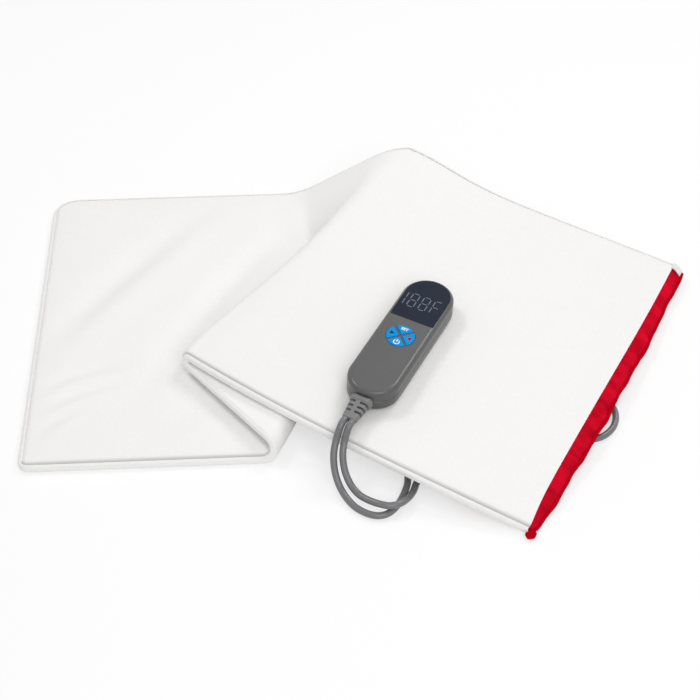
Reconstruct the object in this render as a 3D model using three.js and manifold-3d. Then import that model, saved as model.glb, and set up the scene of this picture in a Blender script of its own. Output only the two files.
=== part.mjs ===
// Moist heating pad: a fleece cover over a wired inner pad, laid with one fold, with controller and cords.
// Millimetres. X runs along the pad, Y away from its front edge, Z up from the surface that it lies on.
import * as THREE from 'three';
import { mergeVertices } from 'three/addons/utils/BufferGeometryUtils.js';
import Module from 'manifold-3d';

const wasm = await Module();
wasm.setup();

// The pad. Its left part lies flat. At the fold it turns back over itself and over again, which makes three
// layers at the front edge and a low tent at the back edge. Its right part slopes down to the surface.
const padWidth = 356;
const padThickness = 12;
const cornerRadius = 22;
const nearCornerRadius = 6;
const flatReachFront = 203;
const flatReachBack = 225;
const foldBow = 40.5;
const tongueRun = 98.6;
const tongueShift = 59;
const tentRun = 130;
const tentRise = 53.4;
const tentRadius = 70;
const layerSpace = 2;
const endCornerX = 420.5;
const endCornerY = -88.8;
const flapBow = 12.6;
const endLift = 9;
const redEndLength = 10.5;
const redEndBow = 2;
const cornerReach = 8;
const endBow = 6.5;
const endBowSkew = 0.6;
const lipSetBack = 62;
const layerGap = 0.3;
const bandGap = 0.5;

// Directions, in degrees from +X: square to the fold at the front and back edges, and of the right part, and
// of the pad's front edge where it enters the fold and where it leaves it.
const foldHeadingFront = -27;
const foldHeadingBack = 0;
const flapHeading = -31.6;
const edgeHeadingIn = 0;
const edgeHeadingOut = -42;

// How the fold and the right part change shape across the width, and how the right part falls to the surface.
const runSteepness = 50;
const shiftFade = 2;
const radiusGrowth = 8;
const frontFallPower = 2.6;
const backKneeShare = 0.32;
const backKneeWidth = 0.22;
const backEndShare = 0.12;
const liftSkew = 0.75;
const cornerReachFade = 16;

// Shares of the pad's thickness, from its underside up, that each layer takes, and how it thins at its rim.
const bottomPanelShares = [0, 0.125];
const lowerSheetShares = [0.155, 0.3];
const upperSheetShares = [0.7, 0.845];
const topPanelShares = [0.875, 1];
const rimThicknessShare = 0.72;
const noseThicknessShares = [0.82, 0.45];
const puffWidth = 16;
const slopeStepShare = 1 / 2048;

// Cells of the pad's grid: round the left corners, then flat part, turn, tongue, turn, flap and red end.
const cornerCells = 3;
const flatCells = 4;
const turnCells = 5;
const tongueCells = 2;
const flapCells = 10;
const widthCells = 8;

// Edge band, binding, tab and knot of the cover.
const bandThickness = 1.5;
const bindingRadius = 1.9;
const tabThickness = 1.2;
const tabLengthShare = 0.9;
const tabWidthShare = 0.3;
const knotLength = 9;
const knotHeight = 6;

// Heating wire and its two thermostats.
const wireRadius = 0.9;
const wireSides = 5;
const wireRows = [1, 3, 5, 7];
const wireTurnCells = 2;
const thermostatLength = 14;
const thermostatWidth = 7;
const thermostatHeight = 2.6;
const thermostatPlaces = [[0.55, 0.3], [0.55, 0.7]];

// Controller housing.
const housingLength = 153;
const housingWidth = 47.3;
const housingHeight = 21;
const lowerShellHeight = 10;
const housingWall = 2;
const ceilingThickness = 3.4;
const floorThickness = 2;
const housingSteps = 10;
const shellGap = 0.3;
const lowerEdgeRadius = 3;
// How far in and how high each ring of the upper shell lies: shares of its shoulder and of its height.
const shoulderWidth = 5;
const upperProfileShares = [[0, 0], [0.1, 0.6], [0.26, 0.82], [0.52, 0.94], [0.9, 1]];
// Its place on the pad.
const controllerX = 327;
const controllerY = 90;
const controllerHeading = 60.4;
const seatGap = 0.3;
const seatSamples = 5;

// Display: a glossy window in a recess of the upper shell, over an opening for the display module.
const windowSideMargin = 3.15;
const windowBottomShare = 0.1242;
const windowCorner = 1.5;
const windowRecess = 1.8;
const windowClearance = 0.2;
const displaySideMargin = 4;
const displayHeightShare = 0.6;
const displayOpeningHeight = 22;
const displayMargin = 1.6;

// Four keys, quarters of one disc, that travel down into the housing.
const keyDiscRadius = 13;
const keyCentreY = -3;
const keyWeb = 1.7;
const keyClearance = 0.25;
const keyProud = 0.7;
const keyEdge = 0.4;
const keyFlange = 1.2;
const keyFlangeHeight = 1.5;
const keyTravel = 0.8;
const keySteps = 6;

// Electronics: board, rubber key mat, switch domes and power parts.
const boardThickness = 1.6;
const boardClearance = 1.3;
const boardEndMargin = 24.5;
const domeRadius = 4;
const domeHeight = 0.8;
const domeReachShare = 0.6;
const matThickness = 1.2;
const matMargin = 1.4;
const partGap = 0.3;
const triacWidth = 10;
const triacLength = 15;
const triacHeight = 4.4;
const triacY = -26;
const fuseRadius = 2.6;
const fuseLength = 20;
const fuseY = -38;
const capacitorRadius = 4;
const capacitorLength = 12;
const partSideMargin = 11.75;

// Housing screws, driven from below through bosses of the lower shell into posts of the upper shell.
const screwX = 11.5;
const screwEndMargin = 16.5;
const screwRadius = 1.4;
const screwHeadRadius = 2.6;
const screwHeadHeight = 1.8;
const screwRecess = 2.2;
const screwClearance = 0.3;
const screwReachShare = 0.6;
const bossRadius = 4;
const roundSteps = 12;

// Cords, with the two-cord strain relief of the controller and the round ones of the plug and the pad.
const cordDiameter = 6;
const cordSides = 8;
const cordEndGap = 0.3;
const cordPitch = 6.8;
const routeStep = 13.2;
const reliefNeckLength = 5;
const reliefLength = 25;
const reliefTopWidth = 20;
const reliefTopThickness = 10.5;
const reliefEndWidth = 14.4;
const reliefEndThickness = 7.6;
const reliefRibs = 4;
const reliefGrooveDepth = 1.2;
const reliefClearance = 0.25;
const reliefHeight = 10.15;

// Coil of the mains cord: piled loops that spiral in and out again, in two layers.
const coilX = 374.6;
const coilY = 75;
const coilInnerRadius = 24;
const coilPitch = 6.5;
const coilTurns = 7.75;
const coilLoopSteps = 24;
const coilSides = 6;
const coilStartAngle = 180;
const tieThickness = 0.8;
const tieWidth = 9;
const tieGap = 0.25;
const tieAngle = 20;

// Plug, with its two blades and its strain relief.
const plugX = 303;
const plugY = 72;
const plugHeading = 90;
const plugReliefLength = 20;
const plugReliefRadius = 5;
const plugReliefEndRadius = 3.9;
const plugBodyLength = 26;
const plugBodyWidth = 24;
const plugBodyHeight = 15;
const plugBodyEdge = 2.5;
const plugNeckShare = 0.72;
const bladeLength = 16;
const bladeWidth = 6.3;
const bladeThickness = 1.5;
const bladeSpacing = 12.7;

// Boot of the pad lead, under the red end of the inner pad, and the lead's turn back to it.
const bootLength = 22;
const bootWidth = 12;
const bootHeight = 7;
const bootWidthShare = 0.453;
const bootSetBack = 41;
const leadTurnRadius = 31;
const leadTurnReach = 11;
const leadTurnSteps = 6;
const leadTurnStart = -90;
const leadTurnEnd = 90;

// Cord routes, chosen by hand. Heights are of the cord's middle, which is 3 where it lies on the surface.
const mainsRunPlaces = [
  [265.6, -11.3, 35.5], [263.3, -20, 26.5], [264, -28.5, 16.5], [267.2, -37, 8.6],
  [272.4, -46.4, 4.4], [279.8, -56.4, 3], [288.6, -63.2, 3], [296.8, -66.1, 3], [304.3, -65, 3],
  [310.9, -60, 3], [316.5, -52.2, 3], [321.3, -42, 3], [324.6, -31, 3], [325.2, -16, 3], [325.4, 5, 3],
  [325.4, 35, 3.4],
];
const padLeadPlaces = [
  [272.9, -12, 36], [271.1, -18.6, 29.5], [271.2, -25, 22], [273.2, -31.4, 15],
  [277.2, -38.6, 9.5], [283.3, -46.6, 7.2], [290.9, -53.8, 8.2], [299.6, -59.6, 9.8], [308, -62, 10],
  [315.6, -59.8, 9.6], [322.7, -52.4, 6.9], [328.4, -42.6, 4.2], [332.8, -31, 3], [341, -20.6, 3],
  [354, -15.4, 3], [372, -14, 3], [398, -12.6, 3], [425, -8.6, 3], [447, -1.4, 3], [465, 5.4, 3],
];
const tailPlaces = [[338, 25.8, 10.4], [323, 25.8, 10], [310, 30, 9.6], [304, 41, 8.2]];

const rad = THREE.MathUtils.degToRad;
const mix = THREE.MathUtils.lerp;
const up = new THREE.Vector3(0, 0, 1);
const alongHeading = (degrees) => new THREE.Vector3(Math.cos(rad(degrees)), Math.sin(rad(degrees)), 0);
const turnRadius = (padThickness + layerSpace) / 2;
const floorCordHeight = cordDiameter / 2;

// Places in the controller that follow from its housing.
const housingReach = (housingLength - housingWidth) / 2;
const windowHalfWidth = housingWidth / 2 - windowSideMargin;
const windowBottomY = housingLength * windowBottomShare;
const displayOpeningWidth = 2 * (windowHalfWidth - displaySideMargin);
const displayCentreY = mix(windowBottomY, housingReach, displayHeightShare);
const boardLength = housingLength - 2 * boardEndMargin;
const partX = housingWidth / 2 - partSideMargin;
const screwY = housingLength / 2 - screwEndMargin;

// Shape helpers.

function solidFrom(geometry) {
  const bare = geometry.clone();
  bare.deleteAttribute('normal');
  bare.deleteAttribute('uv');
  const merged = mergeVertices(bare);
  const vertProperties = new Float32Array(merged.attributes.position.array);
  const triVerts = new Uint32Array(merged.index.array);
  return new wasm.Manifold(new wasm.Mesh({ numProp: 3, vertProperties, triVerts }));
}

function geometryFrom(solid) {
  const cut = solid.getMesh();
  const geometry = new THREE.BufferGeometry();
  geometry.setAttribute('position', new THREE.BufferAttribute(new Float32Array(cut.vertProperties), 3));
  geometry.setIndex(new THREE.BufferAttribute(new Uint32Array(cut.triVerts), 1));
  geometry.computeVertexNormals();
  return geometry;
}

// Rings of points with equal counts, joined one to the next, with a flat fan over each end.
function loft(rings) {
  const count = rings[0].length;
  const positions = rings.flat().flatMap((p) => [p.x, p.y, p.z]);
  const index = [];
  for (let r = 0; r + 1 < rings.length; r += 1) {
    for (let k = 0; k < count; k += 1) {
      const a = r * count + k;
      const b = r * count + (k + 1) % count;
      index.push(a, b, b + count, a, b + count, a + count);
    }
  }
  const last = (rings.length - 1) * count;
  for (let k = 1; k + 1 < count; k += 1) {
    index.push(0, k + 1, k, last, last + k, last + k + 1);
  }
  const geometry = new THREE.BufferGeometry();
  geometry.setAttribute('position', new THREE.Float32BufferAttribute(positions, 3));
  geometry.setIndex(index);
  geometry.computeVertexNormals();
  return geometry;
}

// An outline with straight sides and two half-round ends along Y, drawn in by an inset.
function stadiumRing(length, width, inset, height, steps) {
  const radius = width / 2 - inset;
  const reach = (length - width) / 2;
  const ring = [];
  for (const end of [1, -1]) {
    for (let k = 0; k <= steps; k += 1) {
      const angle = Math.PI * k / steps + (end > 0 ? 0 : Math.PI);
      ring.push(new THREE.Vector3(radius * Math.cos(angle), end * reach + radius * Math.sin(angle), height));
    }
  }
  return ring;
}

function prism(shape, low, high) {
  const geometry = new THREE.ExtrudeGeometry(shape, {
    depth: high - low, bevelEnabled: false, curveSegments: keySteps,
  });
  geometry.translate(0, 0, low);
  return geometry;
}

function roundBar(radius, low, high) {
  const geometry = new THREE.CylinderGeometry(radius, radius, high - low, roundSteps);
  geometry.rotateX(Math.PI / 2);
  geometry.translate(0, 0, (low + high) / 2);
  return geometry;
}

function rectangle(width, height, centreX, centreY) {
  const shape = new THREE.Shape();
  shape.moveTo(centreX - width / 2, centreY - height / 2);
  shape.lineTo(centreX + width / 2, centreY - height / 2);
  shape.lineTo(centreX + width / 2, centreY + height / 2);
  shape.lineTo(centreX - width / 2, centreY + height / 2);
  shape.closePath();
  return shape;
}

// A route that an extrusion follows from point to point, with one step for each point.
class Route extends THREE.Curve {
  constructor(points) {
    super();
    this.points = points;
  }

  getPoint(t, target = new THREE.Vector3()) {
    const place = t * (this.points.length - 1);
    const k = Math.min(Math.floor(place), this.points.length - 2);
    return target.lerpVectors(this.points[k], this.points[k + 1], place - k);
  }

  getTangent(t, target = new THREE.Vector3()) {
    const k = Math.round(t * (this.points.length - 1));
    const before = this.points[Math.max(k - 1, 0)];
    const here = this.points[k];
    const after = this.points[Math.min(k + 1, this.points.length - 1)];
    const arriving = here.clone().sub(before).normalize();
    const leaving = after.clone().sub(here).normalize();
    return target.copy(arriving.add(leaving)).normalize();
  }

  getUtoTmapping(u) {
    return u;
  }
}

// A tube of flat sides, with its outer corners on the true radius.
function tube(points, radius, sides) {
  const section = new THREE.Shape();
  for (let k = 0; k < sides; k += 1) {
    const angle = 2 * Math.PI * (k + 1 / 2) / sides;
    const place = [radius * Math.cos(angle), radius * Math.sin(angle)];
    if (k === 0) section.moveTo(...place);
    else section.lineTo(...place);
  }
  section.closePath();
  return new THREE.ExtrudeGeometry(section, {
    steps: points.length - 1, bevelEnabled: false, extrudePath: new Route(points),
  });
}

// Smooth points through a hand-chosen route, with a straight step at both ends and even steps between.
function smoothRoute(places) {
  const route = places.map((p) => new THREE.Vector3(...p));
  const curve = new THREE.CatmullRomCurve3(route, false, 'centripetal');
  const steps = Math.max(2, Math.round(curve.getLength() / routeStep));
  const clear = cordDiameter + routeStep / 2;
  const between = curve.getSpacedPoints(steps)
    .filter((p) => p.distanceTo(route[0]) > clear && p.distanceTo(route.at(-1)) > clear)
    .map((p) => p.setZ(Math.max(p.z, floorCordHeight)));
  return [route[0], route[1], ...between, route.at(-2), route.at(-1)];
}

// The pad's middle surface.

function foldStart(b) {
  const bow = foldBow * 4 * b * (1 - b);
  return new THREE.Vector3(mix(flatReachFront, flatReachBack, b) + bow, padWidth * b, padThickness / 2);
}

// The fold's section at a share b of the width: two equal arcs with a straight between them, which takes the
// pad from its flat part to a run and a rise further on. At the front edge the run is backwards. The cloth
// crosses the fold at a slant, so it also shifts sideways, at its own rate in each arc and in the straight.
function foldSection(b) {
  const run = -tongueRun + runSteepness * b + (tongueRun + tentRun - runSteepness) * b * b;
  const rise = mix(4 * turnRadius, tentRise, b * b);
  const radius = mix(turnRadius, tentRadius, b ** radiusGrowth);
  const climb = rise - 2 * radius;
  const span = Math.hypot(run, climb);
  const angle = Math.atan2(climb, run) + Math.asin(Math.min(1, 2 * radius / span));
  const straight = Math.sqrt(Math.max(0, span * span - 4 * radius * radius));
  const heading = mix(foldHeadingFront, foldHeadingBack, b);
  const shift = tongueShift * (1 - b) ** shiftFade;
  const rateIn = Math.tan(rad(edgeHeadingIn - heading)) * (1 - b);
  const rateOut = Math.tan(rad(edgeHeadingOut - heading)) * (1 - b);
  const arc = radius * angle;
  const rateMiddle = (shift - arc * (rateIn + rateOut) / 2) / (arc + straight);
  const rates = { in: rateIn, middle: rateMiddle, out: rateOut };
  return { run, rise, radius, angle, straight, heading, shift, arc, ...rates };
}

function foldPoint(b, piece, share) {
  const { run, rise, radius, angle, straight, heading, shift, arc, ...rates } = foldSection(b);
  const turned = angle * (piece === 'turnOver' ? 1 - share : piece === 'turnUp' ? share : 1);
  const turnedArc = radius * turned;
  const rateAtEnd = piece === 'turnOver' ? rates.out : rates.in;
  let forward = radius * Math.sin(turned);
  let height = radius * (1 - Math.cos(turned));
  let sideways = turnedArc * mix(rateAtEnd, rates.middle, turnedArc / arc / 2);
  if (piece === 'tongue') {
    forward += straight * share * Math.cos(angle);
    height += straight * share * Math.sin(angle);
    sideways += straight * share * rates.middle;
  }
  if (piece === 'turnOver') {
    forward = run - forward;
    height = rise - height;
    sideways = shift - sideways;
  }
  const point = foldStart(b).addScaledVector(alongHeading(heading), forward).addScaledVector(up, height);
  return point.addScaledVector(alongHeading(heading + 90), sideways);
}

const flapLength = foldPoint(0, 'turnOver', 1).distanceTo(new THREE.Vector3(endCornerX, endCornerY, 0));
const coverEndShare = 1 - redEndLength / flapLength;
const lipShare = 1 - (redEndLength + lipSetBack) / flapLength;

function flapPoint(b, share) {
  const start = foldPoint(b, 'turnOver', 1);
  const { rise } = foldSection(b);
  const bowShare = b ** endBowSkew;
  const end = new THREE.Vector3(endCornerX, endCornerY, 0)
    .addScaledVector(alongHeading(flapHeading + 90), padWidth * b)
    .addScaledVector(alongHeading(flapHeading), endBow * 4 * bowShare * (1 - bowShare));
  const point = start.lerp(end, share);
  const bow = flapBow * 4 * share * (1 - share) * (1 - b) ** 2;
  point.addScaledVector(alongHeading(flapHeading - 90), bow);
  const pastCover = Math.max(0, share - coverEndShare) / (1 - coverEndShare);
  point.addScaledVector(alongHeading(flapHeading), redEndBow * 4 * b * (1 - b) * pastCover);
  const frontFall = 1 - share ** frontFallPower;
  const backFall = mix(1 - backKneeShare, backEndShare, share)
    + backKneeShare * Math.exp(-((share / backKneeWidth) ** 2));
  const lift = endLift * share * Math.sin(Math.PI * b ** liftSkew) ** 2;
  point.z = padThickness / 2 + rise * mix(frontFall, backFall, b) + lift;
  return point;
}

// How far a round corner draws the rim in, at a distance from the pad's left end.
function cornerInset(radius, x) {
  return radius - Math.sqrt(radius ** 2 - Math.max(0, radius - x) ** 2);
}

function padPoint(piece, share, b) {
  if (piece === 'corner') {
    const x = cornerRadius * (1 - Math.cos(share * Math.PI / 2));
    const near = cornerInset(nearCornerRadius, x);
    const y = mix(near, padWidth - cornerInset(cornerRadius, x), b);
    return new THREE.Vector3(x, y, padThickness / 2);
  }
  if (piece === 'flat') {
    const start = foldStart(b);
    return new THREE.Vector3(mix(cornerRadius, start.x, share), start.y, start.z);
  }
  return piece === 'flap' ? flapPoint(b, share) : foldPoint(b, piece, share);
}

// Stations along the pad. One where two pieces meet belongs to both. Past the end of the cover, each reaches
// further at the near corner, where the cover hides more of the red end.
function makeStations() {
  const pieces = [
    ['corner', cornerCells], ['flat', flatCells], ['turnUp', turnCells], ['tongue', tongueCells],
    ['turnOver', turnCells],
  ];
  const stations = [{ sides: [['corner', 0]] }];
  for (const [piece, cells] of pieces) {
    for (let k = 1; k <= cells; k += 1) stations.push({ sides: [[piece, k / cells]] });
    stations.at(-1).joins = true;
  }
  stations.filter((s) => s.joins).forEach((s, n) => {
    s.sides.push([[...pieces.map((p) => p[0]), 'flap'][n + 1], 0]);
  });
  for (let k = 1; k < flapCells; k += 1) stations.push({ sides: [['flap', lipShare * k / (flapCells - 1)]] });
  const lip = stations.length - 1;
  stations.push({ sides: [['flap', coverEndShare]], reach: cornerReach });
  const [halfNose, endNose] = noseThicknessShares;
  stations.push({ sides: [['flap', (1 + coverEndShare) / 2]], reach: cornerReach / 2, nose: halfNose });
  stations.push({ sides: [['flap', 1]], nose: endNose });
  return { stations, lip };
}

const { stations, lip: lipStation } = makeStations();
const coverEndStation = lipStation + 1;
const redEndStation = stations.length - 1;

function normalAt(piece, share, b) {
  const around = (value) => [Math.max(0, value - slopeStepShare), Math.min(1, value + slopeStepShare)];
  const [shareBefore, shareAfter] = around(share);
  const [bBefore, bAfter] = around(b);
  const lengthwise = padPoint(piece, shareAfter, b).sub(padPoint(piece, shareBefore, b));
  const widthwise = padPoint(piece, share, bAfter).sub(padPoint(piece, share, bBefore));
  return lengthwise.cross(widthwise).normalize();
}

function thicknessAt(station, b, middle) {
  const fromLeft = Math.max(0, middle.x) + (station.sides[0][0] === 'corner' ? 0 : puffWidth);
  const edge = Math.min(padWidth * b, padWidth * (1 - b), fromLeft);
  const puff = mix(rimThicknessShare, 1, 1 - Math.exp(-edge / puffWidth));
  return padThickness * puff * (station.nose ?? 1);
}

function makeGrid() {
  return stations.map((station) => Array.from({ length: widthCells + 1 }, (_, j) => {
    const b = j / widthCells;
    const further = (station.reach ?? 0) / flapLength * (1 - b) ** cornerReachFade;
    const [piece, share] = station.sides[0];
    const middle = padPoint(piece, share + further, b);
    const normal = new THREE.Vector3();
    station.sides.forEach((side) => normal.add(normalAt(side[0], side[1] + further, b)));
    return { middle, normal: normal.normalize(), thickness: thicknessAt(station, b, middle) };
  }));
}

const grid = makeGrid();

// A point of the pad at station i and width line j, which may lie between lines, at a share of its thickness.
function padPlace(i, j, level) {
  const i0 = Math.min(Math.floor(i), grid.length - 2);
  const j0 = Math.min(Math.floor(j), widthCells - 1);
  const corner = (di, dj) => {
    const { middle, normal, thickness } = grid[i0 + di][j0 + dj];
    return middle.clone().addScaledVector(normal, thickness * level - padThickness / 2);
  };
  const near = corner(0, 0).lerp(corner(1, 0), i - i0);
  const far = corner(0, 1).lerp(corner(1, 1), i - i0);
  return near.lerp(far, j - j0);
}

const countTo = (last, first = 0) => Array.from({ length: last - first + 1 }, (_, k) => first + k);

// A closed sheet between two levels of the pad, over the given stations and width lines.
function sheet(levels, alongLines, acrossLines) {
  const rows = alongLines.length;
  const columns = acrossLines.length;
  const positions = [];
  for (const level of levels) {
    for (const i of alongLines) {
      for (const j of acrossLines) positions.push(...padPlace(i, j, level));
    }
  }
  const at = (side, r, c) => side * rows * columns + r * columns + c;
  const index = [];
  const quad = (a, b, c, d) => index.push(a, b, c, a, c, d);
  for (let r = 0; r + 1 < rows; r += 1) {
    for (let c = 0; c + 1 < columns; c += 1) {
      quad(at(1, r, c), at(1, r + 1, c), at(1, r + 1, c + 1), at(1, r, c + 1));
      quad(at(0, r, c), at(0, r, c + 1), at(0, r + 1, c + 1), at(0, r + 1, c));
    }
    quad(at(0, r, 0), at(0, r + 1, 0), at(1, r + 1, 0), at(1, r, 0));
    quad(at(0, r + 1, columns - 1), at(0, r, columns - 1), at(1, r, columns - 1), at(1, r + 1, columns - 1));
  }
  for (let c = 0; c + 1 < columns; c += 1) {
    quad(at(0, 0, c + 1), at(0, 0, c), at(1, 0, c), at(1, 0, c + 1));
    quad(at(0, rows - 1, c), at(0, rows - 1, c + 1), at(1, rows - 1, c + 1), at(1, rows - 1, c));
  }
  const geometry = new THREE.BufferGeometry();
  geometry.setAttribute('position', new THREE.Float32BufferAttribute(positions, 3));
  geometry.setIndex(index);
  geometry.computeVertexNormals();
  return geometry;
}

const allAcross = countTo(widthCells);

// The side wall of the cover, a strip that stands round the rims of its panels on three sides.
function edgeBand() {
  const rim = [
    ...countTo(coverEndStation).reverse().map((i) => [i, 0]),
    ...countTo(widthCells - 1, 1).map((j) => [0, j]),
    ...countTo(coverEndStation).map((i) => [i, widthCells]),
  ];
  const rings = rim.map(([i, j], k) => {
    const [bi, bj] = rim[Math.max(k - 1, 0)];
    const [ai, aj] = rim[Math.min(k + 1, rim.length - 1)];
    const here = grid[i][j];
    const arriving = here.middle.clone().sub(grid[bi][bj].middle).normalize();
    const leaving = grid[ai][aj].middle.clone().sub(here.middle).normalize();
    const along = arriving.clone().add(leaving).normalize();
    const outward = here.normal.clone().cross(along).normalize();
    const turnCosine = along.dot(leaving.lengthSq() > 0 ? leaving : arriving);
    const widen = 1 / Math.max(rimThicknessShare, turnCosine);
    const corner = (offset, level) => padPlace(i, j, level).addScaledVector(outward, offset * widen);
    const outer = bandGap + bandThickness;
    return [corner(bandGap, 0), corner(outer, 0), corner(outer, 1), corner(bandGap, 1)];
  });
  return loft(rings);
}

function binding() {
  const outward = alongHeading(flapHeading);
  const points = allAcross.map((j) => {
    const place = padPlace(redEndStation, j, 1 / 2).addScaledVector(outward, bindingRadius + layerGap);
    return place.setZ(Math.max(place.z, bindingRadius));
  });
  return tube(points, bindingRadius, cordSides);
}

function cornerTab() {
  const levels = [1, 1 + tabThickness / padThickness].map((level) => level + layerGap / padThickness);
  const first = coverEndStation + 1 - tabLengthShare;
  return sheet(levels, [first, coverEndStation + 1, redEndStation], [widthCells - tabWidthShare, widthCells]);
}

function bindingKnot() {
  const geometry = new THREE.SphereGeometry(knotLength / 2, cordSides, cordSides / 2);
  geometry.scale(1, 1, knotHeight / knotLength);
  const outward = alongHeading(flapHeading - 90);
  const place = padPlace(redEndStation, 0, 1 / 2);
  place.addScaledVector(alongHeading(flapHeading), bindingRadius + layerGap);
  place.addScaledVector(outward, knotLength / 2 + layerGap);
  place.z = knotHeight / 2;
  geometry.translate(...place);
  return geometry;
}

// The wire runs to and fro along the pad, on the grid's own lines, so it bends as the sheets round it do.
function heatingWire() {
  const level = lowerSheetShares[1] + (layerGap + wireRadius) / (padThickness * rimThicknessShare);
  const stationsOut = countTo(coverEndStation, wireTurnCells);
  const points = [];
  wireRows.forEach((row, n) => {
    const order = n % 2 ? stationsOut : [...stationsOut].reverse();
    order.forEach((i) => points.push(padPlace(i, row, level)));
    const nextRow = wireRows[n + 1] ?? row;
    for (let j = row + 1; j < nextRow; j += 1) points.push(padPlace(order.at(-1), j, level));
  });
  return tube(points, wireRadius, wireSides);
}

function thermostat([alongShare, acrossShare]) {
  const geometry = new THREE.BoxGeometry(thermostatWidth, thermostatLength, thermostatHeight);
  const place = padPlace(cornerCells + flatCells * alongShare, widthCells * acrossShare, lowerSheetShares[1]);
  geometry.translate(place.x, place.y, place.z + layerGap + thermostatHeight / 2);
  return geometry;
}

// Controller pieces, each in the controller's own frame: X across, Y towards the display, Z up from its back.

const upperShellHeight = housingHeight - lowerShellHeight - shellGap;
const upperShellBottom = lowerShellHeight + shellGap;
const ceilingHeight = housingHeight - ceilingThickness;
const boardTop = upperShellBottom + boardThickness;

function upperOutline() {
  return loft(upperProfileShares.map(([inShare, highShare]) => {
    const height = upperShellBottom + upperShellHeight * highShare;
    return stadiumRing(housingLength, housingWidth, shoulderWidth * inShare, height, housingSteps);
  }));
}

function windowShape(clearance) {
  const half = windowHalfWidth + clearance;
  const bottom = windowBottomY - clearance;
  const shape = new THREE.Shape();
  shape.moveTo(-half + windowCorner, bottom);
  shape.lineTo(half - windowCorner, bottom);
  shape.quadraticCurveTo(half, bottom, half, bottom + windowCorner);
  shape.absarc(0, housingReach, half, 0, Math.PI, false);
  shape.lineTo(-half, bottom + windowCorner);
  shape.quadraticCurveTo(-half, bottom, -half + windowCorner, bottom);
  return shape;
}

// One quarter of the key disc, set back from the two diagonals by half a gap.
function quarterShape(radius, gap, middleAngle) {
  const half = Math.PI / 4 - Math.asin(gap / 2 / radius);
  const inner = gap / Math.SQRT2;
  const shape = new THREE.Shape();
  shape.moveTo(inner * Math.cos(middleAngle), keyCentreY + inner * Math.sin(middleAngle));
  for (let k = 0; k <= keySteps; k += 1) {
    const angle = middleAngle + half * (2 * k / keySteps - 1);
    shape.lineTo(radius * Math.cos(angle), keyCentreY + radius * Math.sin(angle));
  }
  shape.closePath();
  return shape;
}

const keyAngles = { set_key: Math.PI / 2, down_key: Math.PI, up_key: 0, power_key: -Math.PI / 2 };
const screwPlaces = [[screwX, screwY], [-screwX, screwY], [screwX, -screwY], [-screwX, -screwY]];

// The notch in the housing's end that holds the strain relief's neck, half in each shell.
function reliefNotch() {
  return solidFrom(reliefNeck(reliefClearance));
}

function upperShell() {
  const cavityTop = ceilingHeight;
  const cavity = loft([upperShellBottom - housingWall, cavityTop].map((height, k) => stadiumRing(
    housingLength, housingWidth, housingWall + k * shoulderWidth / 2, height, housingSteps)));
  let shell = solidFrom(upperOutline()).subtract(solidFrom(cavity));
  for (const [x, y] of screwPlaces) {
    const post = roundBar(bossRadius, upperShellBottom, cavityTop + housingWall / 2);
    const hole = roundBar(screwRadius + screwClearance, upperShellBottom - housingWall, cavityTop);
    shell = shell.add(solidFrom(post.translate(x, y, 0))).subtract(solidFrom(hole.translate(x, y, 0)));
  }
  const above = housingHeight + housingWall;
  const recess = prism(windowShape(windowClearance), housingHeight - windowRecess, above);
  const opening = prism(rectangle(displayOpeningWidth, displayOpeningHeight, 0, displayCentreY), 0, above);
  shell = shell.subtract(solidFrom(recess)).subtract(solidFrom(opening));
  for (const angle of Object.values(keyAngles)) {
    const hole = prism(quarterShape(keyDiscRadius, keyWeb, angle), 0, above);
    shell = shell.subtract(solidFrom(hole));
  }
  return geometryFrom(shell.subtract(reliefNotch()));
}

function lowerShell() {
  const rings = [0, 1, 2].map((k) => {
    const angle = k * Math.PI / 4;
    const inset = lowerEdgeRadius * (1 - Math.sin(angle));
    const height = lowerEdgeRadius * (1 - Math.cos(angle));
    return stadiumRing(housingLength, housingWidth, inset, height, housingSteps);
  });
  rings.push(stadiumRing(housingLength, housingWidth, 0, lowerShellHeight, housingSteps));
  const cavity = loft([floorThickness, lowerShellHeight + housingWall].map((height, k) => stadiumRing(
    housingLength, housingWidth, housingWall + (k ? 0 : lowerEdgeRadius / 2), height, housingSteps)));
  let shell = solidFrom(loft(rings)).subtract(solidFrom(cavity));
  for (const [x, y] of screwPlaces) {
    const boss = roundBar(bossRadius, floorThickness / 2, lowerShellHeight);
    const hole = roundBar(screwRadius + screwClearance, -housingWall, lowerShellHeight + housingWall);
    const recess = roundBar(screwHeadRadius + screwClearance, -housingWall, screwRecess);
    shell = shell.add(solidFrom(boss.translate(x, y, 0)));
    shell = shell.subtract(solidFrom(hole.translate(x, y, 0))).subtract(solidFrom(recess.translate(x, y, 0)));
  }
  return geometryFrom(shell.subtract(reliefNotch()));
}

function displayWindow() {
  const low = housingHeight - windowRecess + partGap;
  const body = prism(windowShape(0), low, housingHeight + housingWall);
  return geometryFrom(solidFrom(body).intersect(solidFrom(upperOutline())));
}

function displayModule() {
  const width = displayOpeningWidth + displayMargin;
  const outline = rectangle(width, displayOpeningHeight + displayMargin, 0, displayCentreY);
  return prism(outline, boardTop + partGap, ceilingHeight - partGap);
}

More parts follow.
